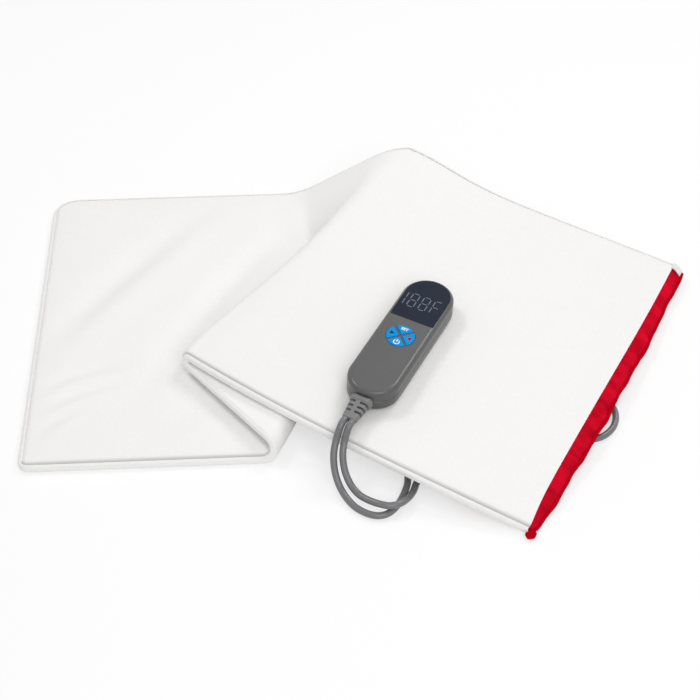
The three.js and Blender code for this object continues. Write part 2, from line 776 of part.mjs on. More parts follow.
function key(angle) {
  const gap = keyWeb + 2 * keyClearance;
  const radius = keyDiscRadius - keyClearance;
  const bottom = matTop() + keyTravel + partGap;
  const flangeTop = ceilingHeight - partGap;
  const top = housingHeight + keyProud;
  const cap = new THREE.ExtrudeGeometry(quarterShape(radius - keyEdge, gap + 2 * keyEdge, angle), {
    depth: top - bottom - keyEdge, bevelSize: keyEdge, bevelThickness: keyEdge, bevelSegments: 1,
  });
  cap.translate(0, 0, bottom);
  const flange = prism(quarterShape(radius + keyFlange, gap, angle), flangeTop - keyFlangeHeight, flangeTop);
  const within = prism(keyField(), bottom, top);
  return geometryFrom(solidFrom(cap).add(solidFrom(flange)).intersect(solidFrom(within)));
}

// The square under the keys, which the rubber mat fills.
function keyField() {
  const side = 2 * (keyDiscRadius + matMargin);
  return rectangle(side, side, 0, keyCentreY);
}

function matTop() {
  return boardTop + partGap + domeHeight + partGap + matThickness;
}

function keyMat() {
  return prism(keyField(), matTop() - matThickness, matTop());
}

function switchDome(angle) {
  const reach = keyDiscRadius * domeReachShare;
  const geometry = new THREE.CylinderGeometry(domeRadius / 2, domeRadius, domeHeight, roundSteps);
  geometry.rotateX(Math.PI / 2);
  geometry.translate(reach * Math.cos(angle), keyCentreY + reach * Math.sin(angle), 0);
  geometry.translate(0, 0, boardTop + partGap + domeHeight / 2);
  return geometry;
}

function circuitBoard() {
  const width = housingWidth - 2 * (housingWall + boardClearance);
  return prism(rectangle(width, boardLength, 0, 0), upperShellBottom, boardTop);
}

function triac() {
  const low = boardTop + partGap;
  return prism(rectangle(triacWidth, triacLength, -partX, triacY), low, low + triacHeight);
}

function fuse() {
  const geometry = new THREE.CylinderGeometry(fuseRadius, fuseRadius, fuseLength, cordSides);
  geometry.rotateZ(Math.PI / 2);
  geometry.translate(0, fuseY, boardTop + partGap + fuseRadius);
  return geometry;
}

function capacitor() {
  const geometry = new THREE.CylinderGeometry(capacitorRadius, capacitorRadius, capacitorLength, cordSides);
  geometry.translate(partX, triacY, upperShellBottom - partGap - capacitorRadius);
  return geometry;
}

function screw([x, y]) {
  const headTop = screwRecess - partGap;
  const headLow = headTop - screwHeadHeight;
  const reach = upperShellBottom + (ceilingHeight - upperShellBottom) * screwReachShare;
  const profile = [
    [0, headLow], [screwHeadRadius, headLow], [screwHeadRadius, headTop],
    [screwRadius, headTop], [screwRadius, reach], [0, reach],
  ];
  const geometry = new THREE.LatheGeometry(profile.map(([r, z]) => new THREE.Vector2(r, z)), roundSteps);
  geometry.rotateX(Math.PI / 2);
  geometry.translate(x, y, 0);
  return geometry;
}

// Strain relief for two cords side by side: a flat-sided neck in the housing, then ribs that taper outwards.
function reliefRing(width, thickness, y) {
  const radius = thickness / 2;
  const reach = width / 2 - radius;
  const ring = [];
  for (const end of [1, -1]) {
    for (let k = 0; k <= keySteps; k += 1) {
      const angle = Math.PI * k / keySteps - Math.PI / 2 + (end > 0 ? 0 : Math.PI);
      const height = reliefHeight + radius * Math.sin(angle);
      ring.push(new THREE.Vector3(end * reach + radius * Math.cos(angle), y, height));
    }
  }
  return ring;
}

function reliefNeck(clearance) {
  const width = reliefTopWidth - 2 * reliefGrooveDepth + 2 * clearance;
  const thickness = reliefTopThickness - 2 * reliefGrooveDepth + 2 * clearance;
  const outside = -housingLength / 2;
  const ends = [outside + reliefNeckLength + clearance, outside - reliefNeckLength];
  return loft(ends.map((y) => reliefRing(width, thickness, y)));
}

function strainRelief() {
  const rings = [];
  const neckWidth = reliefTopWidth - 2 * reliefGrooveDepth;
  const neckThickness = reliefTopThickness - 2 * reliefGrooveDepth;
  const start = -housingLength / 2 - shellGap;
  rings.push(reliefRing(neckWidth, neckThickness, start + reliefNeckLength));
  rings.push(reliefRing(neckWidth, neckThickness, start));
  const pitch = reliefLength / (2 * reliefRibs - 1);
  for (let k = 0; k < 2 * reliefRibs - 1; k += 1) {
    const share = (k + 1 / 2) / (2 * reliefRibs - 1);
    const groove = k % 2 ? 2 * reliefGrooveDepth : 0;
    const width = mix(reliefTopWidth, reliefEndWidth, share) - groove;
    const thickness = mix(reliefTopThickness, reliefEndThickness, share) - groove;
    rings.push(reliefRing(width, thickness, start - pitch * k));
    rings.push(reliefRing(width, thickness, start - pitch * (k + 1)));
  }
  return loft(rings);
}

function cordClamp() {
  const inside = -housingLength / 2 + reliefNeckLength + partGap;
  const shape = rectangle(reliefEndWidth, reliefNeckLength, 0, inside + reliefNeckLength / 2);
  return prism(shape, floorThickness + partGap, upperShellBottom - partGap);
}

// Round ribbed strain relief along +Y, thick end first.
function roundRelief(length, radius, endRadius) {
  const rings = 2 * reliefRibs - 1;
  const pitch = length / rings;
  const profile = [new THREE.Vector2(0, 0)];
  for (let k = 0; k < rings; k += 1) {
    const share = (k + 1 / 2) / rings;
    const here = mix(radius, endRadius, share) - (k % 2 ? reliefGrooveDepth / 2 : 0);
    profile.push(new THREE.Vector2(here, pitch * k), new THREE.Vector2(here, pitch * (k + 1)));
  }
  profile.push(new THREE.Vector2(0, length));
  return new THREE.LatheGeometry(profile, roundSteps);
}

// Plug pieces, in the plug's own frame: Y runs from the cord towards the blades.
function plugBody() {
  const shape = new THREE.Shape();
  const half = plugBodyWidth / 2 - plugBodyEdge;
  const narrow = half * plugNeckShare;
  shape.moveTo(-narrow, plugBodyEdge);
  shape.lineTo(narrow, plugBodyEdge);
  shape.lineTo(half, plugBodyLength / 2);
  shape.lineTo(half, plugBodyLength - plugBodyEdge);
  shape.lineTo(-half, plugBodyLength - plugBodyEdge);
  shape.lineTo(-half, plugBodyLength / 2);
  shape.closePath();
  const geometry = new THREE.ExtrudeGeometry(shape, {
    depth: plugBodyHeight - 2 * plugBodyEdge,
    bevelSize: plugBodyEdge,
    bevelThickness: plugBodyEdge,
    bevelSegments: 2,
  });
  geometry.translate(0, 0, plugBodyEdge);
  return geometry;
}

function plugBlade(side) {
  const geometry = new THREE.BoxGeometry(bladeThickness, bladeLength, bladeWidth);
  geometry.translate(side * bladeSpacing / 2, plugBodyLength + partGap + bladeLength / 2, plugBodyHeight / 2);
  return geometry;
}

// Coil: steady spiral in and out, with the climb in the half turn where it reverses.
function coilPoint(turn) {
  const half = coilTurns / 2;
  const radius = coilInnerRadius + coilPitch * Math.abs(turn - half);
  const climb = THREE.MathUtils.clamp((turn - half) * 2 + 1 / 2, 0, 1);
  const angle = rad(coilStartAngle - 360 * turn);
  const height = floorCordHeight + tieThickness + tieGap + coilPitch * climb;
  return new THREE.Vector3(coilX + radius * Math.cos(angle), coilY + radius * Math.sin(angle), height);
}

function coilPoints() {
  const steps = Math.round(coilTurns * coilLoopSteps);
  const points = Array.from({ length: steps + 1 }, (_, k) => coilPoint(coilTurns * k / steps));
  const firstOut = new THREE.Vector3(0, -cordDiameter, 0);
  const lastOut = new THREE.Vector3(-cordDiameter, 0, 0);
  return [points[0].clone().add(firstOut), ...points, points.at(-1).clone().add(lastOut)];
}

// A strap once round the coil's section, which keeps the turns together.
function coilTie() {
  const inner = coilInnerRadius - cordDiameter / 2 - tieGap;
  const outer = coilInnerRadius + coilPitch * coilTurns / 2 + cordDiameter / 2 + tieGap;
  const top = 2 * tieThickness + 3 * tieGap + coilPitch + cordDiameter;
  const strap = new THREE.Shape();
  strap.moveTo(inner - tieThickness, 0);
  strap.lineTo(outer + tieThickness, 0);
  strap.lineTo(outer + tieThickness, top);
  strap.lineTo(inner - tieThickness, top);
  strap.closePath();
  const hole = new THREE.Path();
  hole.moveTo(inner, tieThickness);
  hole.lineTo(inner, top - tieThickness);
  hole.lineTo(outer, top - tieThickness);
  hole.lineTo(outer, tieThickness);
  hole.closePath();
  strap.holes.push(hole);
  const geometry = new THREE.ExtrudeGeometry(strap, { depth: tieWidth, bevelEnabled: false });
  geometry.rotateX(Math.PI / 2);
  geometry.translate(0, tieWidth / 2, 0);
  geometry.rotateZ(rad(tieAngle));
  geometry.translate(coilX, coilY, 0);
  return geometry;
}

// Colours and finishes.
const finish = (color, roughness, metalness = 0) => ({ color, roughness, metalness });
const whiteFleece = finish('#f1f0ee', 0.95);
const redFabric = finish('#c8142b', 0.6);
const greyHousing = finish('#5c5c5c', 0.5);
const greyCord = finish('#7b7b7b', 0.5);
const darkWindow = finish('#1f2b3d', 0.1);
const blueKey = finish('#0a92e6', 0.45);
const greenBoard = finish('#1f6b3a', 0.5);
const blackPart = finish('#1c1c1e', 0.5);
const rubberMat = finish('#3a3a3c', 0.8);
const steel = finish('#b9bcc0', 0.3, 1);
const brass = finish('#c9a35a', 0.3, 1);
const copperWire = finish('#b5653a', 0.4, 0.2);

function named(name, geometry, look) {
  const mesh = new THREE.Mesh(geometry, new THREE.MeshStandardMaterial(look));
  mesh.name = name;
  return mesh;
}

function padGroup() {
  const group = new THREE.Group();
  const toLip = countTo(lipStation);
  const toCoverEnd = countTo(coverEndStation);
  const toRedEnd = countTo(redEndStation);
  group.add(named('cover_bottom_panel', sheet(bottomPanelShares, toLip, allAcross), whiteFleece));
  group.add(named('cover_top_panel', sheet(topPanelShares, toCoverEnd, allAcross), whiteFleece));
  group.add(named('cover_edge_band', edgeBand(), whiteFleece));
  group.add(named('cover_corner_tab', cornerTab(), whiteFleece));
  group.add(named('inner_pad_lower_sheet', sheet(lowerSheetShares, toRedEnd, allAcross), redFabric));
  group.add(named('inner_pad_upper_sheet', sheet(upperSheetShares, toRedEnd, allAcross), redFabric));
  group.add(named('inner_pad_binding', binding(), redFabric));
  group.add(named('binding_knot', bindingKnot(), redFabric));
  group.add(named('heating_wire', heatingWire(), copperWire));
  thermostatPlaces.forEach((place, k) => {
    group.add(named(`thermostat_${k + 1}`, thermostat(place), blackPart));
  });
  return group;
}

// The controller lies on the flap: it leans as the surface under it does, clear of the highest point there.
function placeController(group, surface) {
  surface.updateMatrixWorld(true);
  const ray = new THREE.Raycaster();
  const along = alongHeading(controllerHeading);
  const across = alongHeading(controllerHeading - 90);
  const middle = new THREE.Vector3(controllerX, controllerY, 0);
  const heightAt = (side, forward) => {
    const from = middle.clone().addScaledVector(across, side).addScaledVector(along, forward);
    ray.set(from.setZ(housingLength), new THREE.Vector3(0, 0, -1));
    return ray.intersectObject(surface)[0].point.z;
  };
  const half = housingWidth / 2 - lowerEdgeRadius;
  const slopeAlong = (heightAt(0, housingReach) - heightAt(0, -housingReach)) / (2 * housingReach);
  const slopeAcross = (heightAt(half, 0) - heightAt(-half, 0)) / (2 * half);
  let base = -Infinity;
  for (let r = -seatSamples; r <= seatSamples; r += 1) {
    for (let c = -seatSamples; c <= seatSamples; c += 1) {
      const side = half * c / seatSamples;
      const forward = (housingReach + half) * r / seatSamples;
      if (Math.hypot(side, Math.max(0, Math.abs(forward) - housingReach)) > half) continue;
      base = Math.max(base, heightAt(side, forward) - slopeAlong * forward - slopeAcross * side);
    }
  }
  const yAxis = along.clone().addScaledVector(up, slopeAlong).normalize();
  const zAxis = across.clone().addScaledVector(up, slopeAcross).cross(yAxis).normalize();
  const xAxis = yAxis.clone().cross(zAxis);
  group.setRotationFromMatrix(new THREE.Matrix4().makeBasis(xAxis, yAxis, zAxis));
  group.position.set(controllerX, controllerY, base + seatGap);
}

function controllerGroup() {
  const group = new THREE.Group();
  group.add(named('controller_lower_shell', lowerShell(), greyHousing));
  group.add(named('controller_upper_shell', upperShell(), greyHousing));
  group.add(named('display_window', displayWindow(), darkWindow));
  group.add(named('display_module', displayModule(), blackPart));
  group.add(named('circuit_board', circuitBoard(), greenBoard));
  group.add(named('key_mat', keyMat(), rubberMat));
  for (const [name, angle] of Object.entries(keyAngles)) {
    group.add(named(name, key(angle), blueKey));
    group.add(named(name.replace('key', 'switch_dome'), switchDome(angle), steel));
  }
  group.add(named('power_triac', triac(), blackPart));
  group.add(named('supply_fuse', fuse(), steel));
  group.add(named('supply_capacitor', capacitor(), blackPart));
  screwPlaces.forEach((place, k) => group.add(named(`housing_screw_${k + 1}`, screw(place), steel)));
  group.add(named('cord_clamp', cordClamp(), blackPart));
  group.add(named('controller_strain_relief', strainRelief(), greyCord));
  return group;
}

// The two cords leave the strain relief side by side, so each route starts at its face there.
function reliefExits(controller) {
  controller.updateMatrixWorld(true);
  const end = -housingLength / 2 - shellGap - reliefLength - cordEndGap;
  const exit = (side, back) => new THREE.Vector3(side * cordPitch / 2, end - back, reliefHeight)
    .applyMatrix4(controller.matrixWorld).toArray();
  return { mains: [exit(-1, 0), exit(-1, cordDiameter)], lead: [exit(1, 0), exit(1, cordDiameter)] };
}

// The middle of the boot's face, set back from the red end. It is right under the lowest point of the sheet
// over the boot and over the cord's last step.
function bootPlace(surface) {
  const place = new THREE.Vector3(endCornerX, endCornerY, 0)
    .addScaledVector(alongHeading(flapHeading + 90), padWidth * bootWidthShare)
    .addScaledVector(alongHeading(flapHeading), -bootSetBack);
  const ray = new THREE.Raycaster();
  const heights = [];
  for (const onward of [-bootLength, -bootLength / 2, 0, cordDiameter]) {
    for (const side of [-bootWidth / 2, 0, bootWidth / 2]) {
      ray.set(new THREE.Vector3(place.x + onward, place.y + side, 0), up);
      ray.intersectObject(surface).forEach((hit) => heights.push(hit.point.z));
    }
  }
  return place.setZ(Math.min(...heights) - partGap - bootHeight / 2);
}

// The lead's half turn in front of the boot, which ends level with it.
function leadTurn(boot) {
  return Array.from({ length: leadTurnSteps + 1 }, (_, k) => {
    const angle = rad(mix(leadTurnStart, leadTurnEnd, k / leadTurnSteps));
    const x = boot.x + leadTurnReach + leadTurnRadius * Math.cos(angle);
    return [x, boot.y + leadTurnRadius * (Math.sin(angle) - 1), floorCordHeight];
  });
}

function cordGroup(controller, lowerSheet) {
  const group = new THREE.Group();
  const radius = cordDiameter / 2;
  const exits = reliefExits(controller);
  const coil = coilPoints();
  const beforeCoil = [cordDiameter, 0].map((back) => coil[0].clone().setY(coil[0].y - cordEndGap - back));
  const run = smoothRoute([...exits.mains, ...mainsRunPlaces, ...beforeCoil]);
  const bootFace = bootPlace(lowerSheet);
  const bootSteps = [cordDiameter, 0].map((back) => bootFace.clone().setX(bootFace.x + cordEndGap + back));
  const lead = smoothRoute([...exits.lead, ...padLeadPlaces, ...leadTurn(bootFace), ...bootSteps]);
  const afterCoil = [0, cordDiameter].map((on) => coil.at(-1).clone().setX(coil.at(-1).x - cordEndGap - on));
  const plugFaceY = plugY - partGap - plugReliefLength - cordEndGap;
  const plugSteps = [cordDiameter, 0].map((back) => [plugX, plugFaceY - back, plugBodyHeight / 2]);
  const tail = smoothRoute([...afterCoil, ...tailPlaces, ...plugSteps]);
  group.add(named('pad_lead', tube(lead, radius, cordSides), greyCord));
  group.add(named('mains_cord_run', tube(run, radius, cordSides), greyCord));
  group.add(named('mains_cord_coil', tube(coil, radius, coilSides), greyCord));
  group.add(named('mains_cord_tail', tube(tail, radius, cordSides), greyCord));
  group.add(named('coil_tie', coilTie(), blackPart));
  const bootOutline = rectangle(bootLength, bootWidth, -bootLength / 2, 0);
  const boot = named('pad_lead_boot', prism(bootOutline, -bootHeight / 2, bootHeight / 2), greyCord);
  boot.position.copy(bootFace);
  group.add(boot);
  return group;
}

function plugGroup() {
  const group = new THREE.Group();
  group.add(named('plug_body', plugBody(), greyCord));
  group.add(named('plug_blade_1', plugBlade(-1), brass));
  group.add(named('plug_blade_2', plugBlade(1), brass));
  const reliefShape = roundRelief(plugReliefLength, plugReliefRadius, plugReliefEndRadius);
  const relief = named('plug_strain_relief', reliefShape, greyCord);
  relief.position.set(0, -partGap, plugBodyHeight / 2);
  relief.rotation.set(0, 0, Math.PI);
  group.add(relief);
  group.rotation.z = rad(plugHeading - 90);
  group.position.set(plugX, plugY, 0);
  return group;
}

const part = new THREE.Group();
const pad = padGroup();
const controller = controllerGroup();
part.add(pad, controller);
placeController(controller, pad.getObjectByName('cover_top_panel'));
part.add(cordGroup(controller, pad.getObjectByName('inner_pad_lower_sheet')), plugGroup());

// The origin is at the bottom middle of the object's box.
part.updateMatrixWorld(true);
const box = new THREE.Box3().setFromObject(part, true);
part.position.set(-(box.min.x + box.max.x) / 2, -(box.min.y + box.max.y) / 2, 0);
part.updateMatrixWorld(true);

export default part;
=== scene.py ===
import bpy
import numpy as np
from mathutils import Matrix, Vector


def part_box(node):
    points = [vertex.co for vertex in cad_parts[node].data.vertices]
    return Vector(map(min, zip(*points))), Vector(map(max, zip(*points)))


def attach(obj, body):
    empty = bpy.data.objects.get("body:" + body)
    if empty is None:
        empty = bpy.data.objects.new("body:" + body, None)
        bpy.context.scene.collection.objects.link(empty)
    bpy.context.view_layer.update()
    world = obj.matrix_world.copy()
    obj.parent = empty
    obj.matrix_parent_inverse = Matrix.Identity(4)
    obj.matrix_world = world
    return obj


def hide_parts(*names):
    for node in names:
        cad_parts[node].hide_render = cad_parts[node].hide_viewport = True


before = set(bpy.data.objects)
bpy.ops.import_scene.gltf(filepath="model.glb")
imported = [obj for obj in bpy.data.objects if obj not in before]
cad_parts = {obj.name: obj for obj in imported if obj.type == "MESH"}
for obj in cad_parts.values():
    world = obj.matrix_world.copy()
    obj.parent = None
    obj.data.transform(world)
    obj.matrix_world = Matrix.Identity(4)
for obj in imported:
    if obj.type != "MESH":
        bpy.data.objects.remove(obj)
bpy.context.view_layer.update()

# Studio. A pale sweep lies under the pad, in an even white room, with two lamps behind it, one at each side,
# and a broad one over its front. The camera stands in front of the pad and looks down at it by 44 degrees.
camera_distance = 1.372238
camera_elevation = np.radians(44.0838)
camera_turn = np.radians(-2.8788)
camera_lens = 77.143
camera_sensor = 36
sweep_half_size = 6
room_light = 0.47
floor_glow_share = 0.60
floor_white = (253, 253, 253)
# Each lamp has its place, the side of its square and its watts.
studio_lamps = {
    "right_lamp": ((0.7, 0.7, 1.3), 0.6, 6.3),
    "left_lamp": ((-0.7, 0.5, 1.4), 0.35, 4.4),
    "front_lamp": ((0.3, -1.2, 1.3), 1.2, 11),
}
# The pad is laid out from its front left corner, and the plug's foot is at this place from there.
plug_place = np.array([0.303, 0.072, 0])
target_place = np.array([0.284579, 0.132807, 0])
plug_low, plug_high = (np.array(corner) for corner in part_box("plug_body"))
layout_origin = np.array([(plug_low[0] + plug_high[0]) / 2, plug_low[1], 0]) - plug_place


def put(tree, kind, inputs=None, **settings):
    """A new node with its settings and input values. A value that is a socket is linked instead."""
    node = tree.nodes.new(kind)
    for key, value in settings.items():
        setattr(node, key, value)
    for key, value in (inputs or {}).items():
        if isinstance(value, bpy.types.NodeSocket):
            tree.links.new(value, node.inputs[key])
        else:
            node.inputs[key].default_value = value
    return node


def paint(red, green, blue):
    """The linear colour of a screen colour given from 0 to 255, by the standard curve of screens."""
    share = np.array([red, green, blue]) / 255
    linear = np.where(share < 0.04045, share / 12.92, ((share + 0.055) / 1.055) ** 2.4)
    return (*linear.tolist(), 1)


def seen_directly(tree):
    """One for camera, glossy and transmission rays, and nought for the light that falls on things."""
    path = put(tree, "ShaderNodeLightPath")
    first = put(tree, "ShaderNodeMath", {0: path.outputs["Is Camera Ray"], 1: path.outputs["Is Glossy Ray"]},
                operation="MAXIMUM")
    second = put(tree, "ShaderNodeMath", {0: first.outputs[0], 1: path.outputs["Is Transmission Ray"]},
                 operation="MAXIMUM")
    return second.outputs[0]


def place_camera():
    """The camera looks along -Z of its own frame, turned up by 90 degrees less its elevation."""
    camera = bpy.data.objects.new("camera", bpy.data.cameras.new("camera"))
    bpy.context.collection.objects.link(camera)
    camera.data.lens = camera_lens
    camera.data.sensor_width = camera_sensor
    forward = np.array([
        -np.sin(camera_turn) * np.cos(camera_elevation),
        np.cos(camera_turn) * np.cos(camera_elevation),
        -np.sin(camera_elevation),
    ])
    camera.location = target_place + layout_origin - forward * camera_distance
    camera.rotation_euler = (np.pi / 2 - camera_elevation, 0, camera_turn)
    bpy.context.scene.camera = camera


def place_lamp(name, place, size, watts):
    """A square lamp that faces the middle of the pad."""
    lamp = bpy.data.objects.new(name, bpy.data.lights.new(name, "AREA"))
    bpy.context.collection.objects.link(lamp)
    lamp.data.size = size
    lamp.data.energy = watts
    lamp.location = place
    x, y, z = -np.array(place)
    lamp.rotation_euler = (np.arctan2(np.hypot(x, y), -z), 0, np.arctan2(y, x) - np.pi / 2)


def light_room():
    """An even world, white where the camera sees it and dimmer where it lights the pad."""
    world = bpy.data.worlds.new("room")
    bpy.context.scene.world = world
    world.use_nodes = True
    tree = world.node_tree
    strength = put(tree, "ShaderNodeMapRange", {
        "Value": seen_directly(tree), "To Min": room_light, "To Max": 1})
    background = tree.nodes["Background"]
    background.inputs["Color"].default_value = (1, 1, 1, 1)
    tree.links.new(strength.outputs["Result"], background.inputs["Strength"])


def lay_sweep():
    """A flat white floor that glows a little to the camera, so that it stays pale and keeps the shadows."""
    material = bpy.data.materials.new("sweep")
    material.use_nodes = True
    tree = material.node_tree
    surface = tree.nodes["Principled BSDF"]
    surface.inputs["Base Color"].default_value = paint(*floor_white)
    surface.inputs["Roughness"].default_value = 1
    surface.inputs["Specular IOR Level"].default_value = 0
    glow = put(tree, "ShaderNodeEmission", {"Color": (1, 1, 1, 1), "Strength": 1})
    share = put(tree, "ShaderNodeMath", {0: seen_directly(tree), 1: floor_glow_share}, operation="MULTIPLY")
    blend = put(tree, "ShaderNodeMixShader", {
        "Fac": share.outputs[0], 1: surface.outputs["BSDF"], 2: glow.outputs["Emission"]})
    tree.links.new(blend.outputs[0], tree.nodes["Material Output"].inputs["Surface"])
    half = sweep_half_size
    corners = [(-half, -half, 0), (half, -half, 0), (half, half, 0), (-half, half, 0)]
    mesh = bpy.data.meshes.new("sweep")
    mesh.from_pydata(corners, [], [(0, 1, 2, 3)])
    mesh.materials.append(material)
    sweep = bpy.data.objects.new("sweep", mesh)
    bpy.context.collection.objects.link(sweep)


bpy.context.scene.view_settings.view_transform = "Standard"
place_camera()
light_room()
lay_sweep()
for name, (place, size, watts) in studio_lamps.items():
    place_lamp(name, place, size, watts)


# Cords. Both are grey PVC-sheathed round cords, 6 mm thick, that leave the controller side by side. The mains
# cord goes under the fold to its coil and its plug, and the pad's lead crosses it and turns back to the pad.
cord_radius = 0.003
cord_sides = 16
cord_pitch = 0.0068
cord_samples = 6
housing_length = 0.153
relief_start = 0.0003
relief_length = 0.025
relief_height = 0.01015
face_gap = 0.0003
board_height = 0.0111
floor_line = cord_radius
tie_thickness = 0.0008
tie_gap = 0.00025
mains_places = [
    [0.2656, -0.0113, 0.0355], [0.2633, -0.02, 0.0265], [0.264, -0.0285, 0.0165],
    [0.2672, -0.037, 0.0086], [0.2724, -0.0464, 0.0044], [0.2798, -0.0564, floor_line],
    [0.2886, -0.0632, floor_line], [0.2968, -0.0661, floor_line], [0.3043, -0.065, floor_line],
    [0.3109, -0.06, floor_line], [0.3165, -0.0522, floor_line], [0.3213, -0.042, floor_line],
    [0.3246, -0.031, floor_line], [0.3252, -0.016, floor_line], [0.3254, 0.005, floor_line],
    [0.3254, 0.035, floor_line + tie_thickness / 2],
]
lead_places = [
    [0.2729, -0.012, 0.036], [0.2711, -0.0186, 0.0295], [0.2712, -0.025, 0.022],
    [0.2732, -0.0314, 0.015], [0.2772, -0.0386, 0.0095], [0.2833, -0.0466, 0.0072], [0.2909, -0.0538, 0.0082],
    [0.2996, -0.0596, 0.0098], [0.308, -0.062, floor_line + 0.007], [0.3156, -0.0598, floor_line + 0.0066],
    [0.3227, -0.0524, 0.0069], [0.3284, -0.0426, 0.0042], [0.3328, -0.031, floor_line],
    [0.341, -0.0206, floor_line], [0.354, -0.0154, floor_line], [0.372, -0.014, floor_line],
    [0.398, -0.0126, floor_line], [0.425, -0.0086, floor_line], [0.447, -0.0014, floor_line],
    [0.465, 0.0054, floor_line],
]
lead_turn_middle = np.array([0.481, 0.039, floor_line])
lead_turn_radius = 0.031
lead_turn_steps = 6
tail_places = [
    [0.338, 0.0258, 0.0104], [0.323, 0.0258, floor_line + 0.007], [0.31, 0.03, 0.0096],
    [0.304, 0.041, 0.0082],
]
coil_middle = np.array([0.3746, 0.075, 0])
coil_inner_radius = 0.024
coil_pitch = 0.0065
coil_turns = 7.75
coil_loop_steps = 24
coil_start = np.pi
plug_relief_length = 0.02
plug_middle_height = 0.0075


def board_frame():
    """The controller's origin and axes, from its board's corners: the longest way is Y, the thinnest is Z."""
    corners = np.array([v.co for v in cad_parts["circuit_board"].data.vertices])
    corners = np.unique(corners.round(6), axis=0)
    middle = corners.mean(0)
    ways = np.linalg.svd(corners - middle)[2]
    along = ways[0] * np.sign(ways[0][1])
    upright = ways[2] * np.sign(ways[2][2])
    return middle - upright * board_height, np.array([np.cross(along, upright), along, upright])


controller_origin, controller_axes = board_frame()


def on_controller(points):
    """Points of the controller's own frame, X across, Y towards the display and Z up from its back."""
    return controller_origin + np.asarray(points) @ controller_axes


def on_layout(points):
    """Points that are laid out from the pad's front left corner."""
    return np.asarray(points) + layout_origin


def smooth_path(places, samples):
    """A curve through the places, where each time step is the square root of its distance (centripetal).

    Each stretch blends the two lines through its ends and their neighbours, in three rounds of mixing.
    """
    places = np.asarray(places)
    p = np.concatenate([[2 * places[0] - places[1]], places, [2 * places[-1] - places[-2]]])
    knots = np.concatenate([[0], np.cumsum(np.linalg.norm(np.diff(p, axis=0), axis=1) ** 0.5)])
    t0, t1, t2, t3 = (knots[k:len(knots) - 3 + k, None, None] for k in range(4))
    p0, p1, p2, p3 = (p[k:len(p) - 3 + k, None] for k in range(4))
    t = t1 + (t2 - t1) * (np.arange(samples) / samples)[None, :, None]
    a1 = (p0 * (t1 - t) + p1 * (t - t0)) / (t1 - t0)
    a2 = (p1 * (t2 - t) + p2 * (t - t1)) / (t2 - t1)
    a3 = (p2 * (t3 - t) + p3 * (t - t2)) / (t3 - t2)
    b1 = (a1 * (t2 - t) + a2 * (t - t0)) / (t2 - t0)
    b2 = (a2 * (t3 - t) + a3 * (t - t1)) / (t3 - t1)
    curve = (b1 * (t2 - t) + b2 * (t - t1)) / (t2 - t1)
    curve = np.concatenate([curve.reshape(-1, 3), places[-1:]])
    curve[:, 2] = np.maximum(curve[:, 2], floor_line)
    return curve


def unit(vectors):
    """Vectors divided by their lengths."""
    return vectors / np.linalg.norm(vectors, axis=-1, keepdims=True)


def tube_rings(path, radius, sides):
    """Rings square to a path: the radius times the cosine of the turn sideways and its sine upwards."""
    along = unit(np.gradient(path, axis=0))
    side = unit(np.cross(along, [0, 0, 1]))
    upright = np.cross(side, along)
    turn = (2 * np.pi * np.arange(sides) / sides)[None, :, None]
    radius = np.broadcast_to(radius, len(path))[:, None, None]
    return path[:, None] + radius * (np.cos(turn) * side[:, None] + np.sin(turn) * upright[:, None])


def loft(rings):
    """Rings of points in equal number, each joined to the next, with a fan from its middle over each end."""
    count, sides = rings.shape[:2]
    points = np.concatenate([rings.reshape(-1, 3), rings[0].mean(0)[None], rings[-1].mean(0)[None]])
    near = np.arange(sides)
    far = (near + 1) % sides
    first = np.arange(count - 1)[:, None] * sides
    walls = np.stack([first + near, first + far, first + sides + far, first + sides + near], -1)
    walls = walls.reshape(-1, 4)
    last = (count - 1) * sides
    start = np.stack([far, near, np.full(sides, count * sides)], -1)
    end = np.stack([last + near, last + far, np.full(sides, count * sides + 1)], -1)
    return points, [walls, start, end]


def signed_volume(points, faces):
    """A sixth of the sum of corner . (corner x corner) over the triangles, above nought if they face out."""
    total = 0
    for group in faces:
        for k in range(1, group.shape[1] - 1):
            a, b, c = (points[group[:, n]] for n in (0, k, k + 1))
            total += np.einsum("ij,ij->", a, np.cross(b, c)) / 6
    return total


def make_piece(name, points, faces, material, body="pad", sharp_angle=35, uv=None):
    """A closed mesh with its faces turned outwards, which rides on a body."""
    points = np.asarray(points, float)
    if signed_volume(points - points.mean(0), faces) < 0:
        faces = [group[:, ::-1] for group in faces]
    mesh = bpy.data.meshes.new(name)
    mesh.from_pydata(points.tolist(), [], [face for group in faces for face in group.tolist()])
    mesh.polygons.foreach_set("use_smooth", np.ones(len(mesh.polygons), bool))
    mesh.set_sharp_from_angle(angle=np.radians(sharp_angle))
    if uv is not None:
        corners = np.empty(len(mesh.loops), int)
        mesh.loops.foreach_get("vertex_index", corners)
        mesh.uv_layers.new(name="cloth").uv.foreach_set("vector", np.asarray(uv)[corners].ravel())
    mesh.materials.append(material)
    piece = bpy.data.objects.new(name, mesh)
    bpy.context.collection.objects.link(piece)
    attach(piece, body)
    return piece


def join_solids(solids):
    """Several closed shapes as one set of points and faces."""
    points, faces, first = [], [], 0
    for solid_points, solid_faces in solids:
        if signed_volume(solid_points - solid_points.mean(0), solid_faces) < 0:
            solid_faces = [group[:, ::-1] for group in solid_faces]
        points.append(solid_points)
        faces += [group + first for group in solid_faces]
        first += len(solid_points)
    return np.concatenate(points), faces


